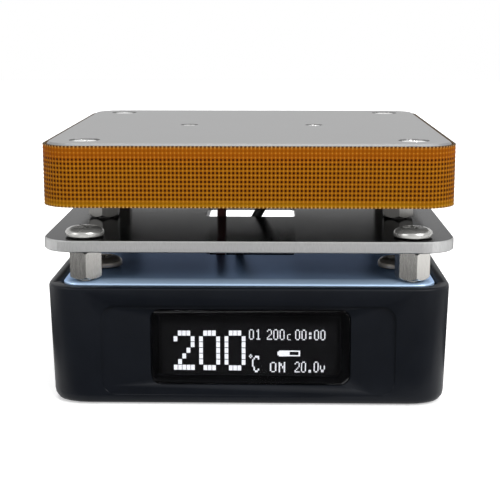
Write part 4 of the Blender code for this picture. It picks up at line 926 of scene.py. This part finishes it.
def build_readout():
    """Plain figures on the display: a large set point, a small line above and below, and a bar."""
    mesh = bmesh.new()
    for index, glyph in enumerate((BIG_TWO, BIG_ZERO, BIG_ZERO)):
        add_pixels(mesh, glyph, BIG_LEFT + index * BIG_ADVANCE, BIG_TOP, BIG_PIXEL, BIG_SHARE)
    for text, left, top, pixel, advance in TEXTS:
        for index, mark in enumerate(text):
            add_pixels(mesh, SMALL[mark], left + index * advance, top, pixel, SMALL_SHARE)
    for glyph, left, top, pixel in MARKS:
        add_pixels(mesh, glyph, left, top, pixel)
    data = finished(mesh, "display_readout", lit_pixels())
    make_piece("display_readout", data, sharp=20.0)


# CAD nodes that are shown as they are

def dress(names, material):
    for name in names:
        data = nodes[name].data
        if data.materials:
            for index in range(len(data.materials)):
                data.materials[index] = material
        else:
            data.materials.append(material)


def build_panel():
    """The coloured panel with its rounded edge, window and screw holes."""
    low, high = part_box("top_panel")
    width = high.x - low.x + 2 * HOUSING_WIDER
    corner = PANEL_CORNER
    mesh = slab(width, high.y - low.y, corner, low.z, high.z, PANEL_UNDER_EDGE, PANEL_EDGE, PANEL_EDGE_STEPS)
    middles = [centre_of(name).xy for name in starting("standoff", "panel_screw")]
    cutter = cylinders(middles, BORE_RADIUS, low.z - MM, high.z + MM)
    outline = rounded(*WINDOW_SIZE, WINDOW_CORNER, 5)
    loft(cutter, [[(x, y, z) for x, y in outline] for z in (low.z - MM, high.z + MM)])
    data = cut(mesh, cutter)
    data.materials.append(lacquered_panel())
    item = make_piece("top_panel_rounded", data, sharp=50.0)
    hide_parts("top_panel")


def smooth_nodes():
    plastic = moulded_plastic("navy_plastic", (0.0040, 0.0052, 0.0080), 0.42, Specular_IOR_Level=0.14)
    smooth_copy("base_housing", plastic, fitted=housing_fitted)
    rubber = moulded_plastic("black_rubber", (0.012, 0.012, 0.012), 0.80)
    for name in starting("rubber_foot"):
        smooth_copy(name, rubber)
    # The shield's lower face is painted darker and bluish, as shade.
    shield = faces_and_edges(
        "polished_aluminium", (0.185, 0.185, 0.19), 0.12, (0.48, 0.48, 0.48), 0.42, (0.10, 0.105, 0.115),
        Specular_Tint=(0.42, 0.42, 0.42, 1.0),
    )
    smooth_copy("heat_shield", shield, sharp=12.0)
    plate = faces_and_edges("brushed_aluminium", (0.210, 0.210, 0.211), 0.42, (0.26, 0.26, 0.26), 0.50)
    smooth_copy("heat_plate", plate, sharp=12.0)
    mica = moulded_plastic("dark_mica_board", (0.020, 0.019, 0.018), 0.32)
    smooth_copy("hot_plate_cover", mica)
    smooth_copy("display_lens", smoked_acrylic(), fitted=lens_fitted)
    smooth_copy("power_socket", cast_metal("socket_steel", (0.60, 0.60, 0.61), 0.25))
    cap = moulded_plastic("button_plastic", (0.045, 0.05, 0.055), 0.42)
    for name in ("button_left", "button_right"):
        smooth_copy(name, cap, body=name)


def dress_nodes():
    dress(["insulation_core"], fibre("ceramic_fibre", (0.50, 0.48, 0.42), (0.74, 0.72, 0.66), 0.95))
    dress(["heater_element"], fibre("alumina_ceramic", (0.66, 0.64, 0.60), (0.82, 0.80, 0.76), 0.45))
    dress(["heater_clamp"], brushed_metal("spring_steel", (0.45, 0.45, 0.46), 0.35, "x"))
    dress(["temperature_sensor"], moulded_plastic("sensor_glass", (0.42, 0.20, 0.08), 0.16, Coat_Weight=0.5))
    dress(["display_panel"], display_glass())
    dress(["display_board"], circuit_board("blue_board", (0.008, 0.045, 0.14), (0.02, 0.09, 0.22), "y"))
    dress(["control_board"], circuit_board("green_board", (0.008, 0.085, 0.026), (0.03, 0.16, 0.05), "z"))
    chip = moulded_plastic("chip_plastic", (0.015, 0.015, 0.016), 0.55)
    dress(["microcontroller", "power_transistor", *starting("switch_left", "switch_right")], chip)
    dress(["inductor"], moulded_plastic("ferrite", (0.06, 0.06, 0.065), 0.60))
    dress(["heater_terminal"], moulded_plastic("terminal_plastic", (0.02, 0.16, 0.07), 0.45))
    dress(["sensor_connector"], moulded_plastic("connector_nylon", (0.70, 0.68, 0.62), 0.50))
    dress(starting("switch_plunger"), moulded_plastic("plunger_nylon", (0.66, 0.66, 0.64), 0.45))


def build_fasteners():
    steel = cast_metal("screw_steel", (0.46, 0.455, 0.44), 0.22, 0.72)
    bright = cast_metal("bright_screw_steel", (0.92, 0.92, 0.91), 0.10)
    # Painted shade, in part: the panel screws' steel is darker and browner than the other screws', as they
    # sit in the shield's shade.
    dark = cast_metal("shaded_dark_screw_steel", (0.30, 0.27, 0.235), 0.34, 0.55)
    place_screws("shield_screw", pan_screw(SHIELD_SCREW, steel), SHIELD_SCREW[1])
    place_screws("panel_screw", pan_screw(PANEL_SCREW, dark), PANEL_SCREW[1])
    place_screws("post_screw", pan_screw(POST_SCREW, steel), POST_SCREW[1], upside_down=True)
    place_screws("plate_screw", flat_screw(PLATE_SCREW, bright))
    place_screws("clamp_screw", flat_screw(CLAMP_SCREW, bright))

    hex_steel = brushed_metal("nickel_steel", (0.46, 0.45, 0.43), 0.24, "z", spread=0.08)
    post_steel = brushed_metal("dull_nickel_steel", (0.22, 0.215, 0.205), 0.30, "z", spread=0.12)
    low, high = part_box("standoff_front_left")
    length = high.z - low.z - STANDOFF_STUD
    bar = hex_bar(length, STANDOFF_TURN, hex_steel, stud_below=STANDOFF_STUD, bore_above=STANDOFF_BORE)
    place_hexes("standoff", bar, STANDOFF_STUD)
    low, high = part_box("post_front_left")
    length = high.z - low.z - POST_STUD
    bar = hex_bar(length, 0.0, post_steel, stud_above=POST_STUD, bore_below=STANDOFF_BORE)
    place_hexes("post_front", bar, 0.0)
    place_hexes("post_rear", bar, 0.0)


# Stage

def square(name, side, material):
    """A flat square, which has no inside for its normals to turn away from."""
    mesh = bmesh.new()
    bmesh.ops.create_grid(mesh, x_segments=1, y_segments=1, size=side / 2)
    data = bpy.data.meshes.new(name)
    mesh.to_mesh(data)
    mesh.free()
    data.materials.append(material)
    return data


def build_floor():
    """A pale floor that is white to the rays that show it, and keeps the object's shadow."""
    made = Finish("pale_floor", Specular_IOR_Level=0.1, Roughness=0.9)
    tree = made.tree
    cloud = noise(tree, made.place, 3.0, 2.0)
    made.feed(Base_Color=ramp(tree, cloud, [(0.3, 0.80), (0.7, 0.82)]))
    glow = calc(tree, "MULTIPLY", shown_rays(tree), FLOOR_GLOW)
    white = node(tree, "ShaderNodeEmission", Color=WHITE, Strength=glow).outputs[0]
    both = node(tree, "ShaderNodeAddShader", _0=made.shader.outputs[0], _1=white).outputs[0]
    tree.links.new(both, tree.nodes["Material Output"].inputs["Surface"])
    floor = add_object("floor", square("floor", FLOOR_SIZE, made.material))


def build_world():
    """Even light from all round, white to the rays that show it."""
    world = bpy.data.worlds.new("studio")
    bpy.context.scene.world = world
    world.use_nodes = True
    tree = world.node_tree
    lit = tree.nodes["Background"]
    lit.inputs["Color"].default_value = WHITE
    lit.inputs["Strength"].default_value = WORLD_LIGHT
    shown = node(tree, "ShaderNodeBackground", Color=WHITE, Strength=1.0).outputs[0]
    choice = node(tree, "ShaderNodeMixShader", _0=shown_rays(tree), _1=lit.outputs[0], _2=shown).outputs[0]
    tree.links.new(choice, tree.nodes["World Output"].inputs["Surface"])


def build_flags():
    """Dark cloths on the table before and beside the object, seen only by reflections and through glass."""
    made = Finish("dark_cloth", Specular_IOR_Level=0.0, Roughness=1.0)
    weave = noise(made.tree, made.place, 900.0, 4.0)
    made.feed(Base_Color=ramp(made.tree, weave, [(0.3, 0.003), (0.7, 0.006)]))
    data = square("dark_cloth", 1.0, made.material)
    for index, flag in enumerate(FLAGS):
        cloth = add_object(f"dark_cloth_{index}", data)
        low_x, high_x, low_y, high_y = (value * MM for value in flag)
        cloth.location = ((low_x + high_x) / 2, (low_y + high_y) / 2, FLAG_LEVEL)
        cloth.scale = (high_x - low_x, high_y - low_y, 1.0)
        cloth.visible_camera = False
        cloth.visible_diffuse = False
        cloth.visible_shadow = False


def add_light(name, place, aim, size, power):
    data = bpy.data.lights.new(name, "AREA")
    data.shape = "RECTANGLE"
    data.size, data.size_y = size
    data.energy = power
    lamp = add_object(name, data)
    lamp.location = place
    lamp.rotation_euler = (Vector(aim) - Vector(place)).to_track_quat("-Z", "Y").to_euler()


def build_lights():
    middle = (0.0, 0.0, 0.02)
    add_light("key", (0.45, -0.55, 0.55), middle, (0.5, 0.5), 6.0)
    add_light("fill", (-0.60, -0.40, 0.30), middle, (0.4, 0.4), 1.5)
    add_light("top", (0.0, 0.25, 0.80), middle, (0.7, 0.5), 5.0)


def build_camera():
    data = bpy.data.cameras.new("camera")
    data.sensor_width = SENSOR_WIDTH
    data.lens = CAMERA_LENS
    data.clip_start = 0.005
    data.clip_end = 20.0
    camera = add_object("camera", data)
    camera.location = CAMERA_PLACE
    camera.rotation_euler = (math.pi / 2 - CAMERA_DOWN, 0.0, CAMERA_TURN)
    bpy.context.scene.camera = camera


bpy.context.scene.view_settings.view_transform = "Standard"
build_camera()
build_floor()
build_world()
build_flags()
build_lights()
smooth_nodes()
build_panel()
dress_nodes()
build_fasteners()
build_leads()
build_band()
build_readout()
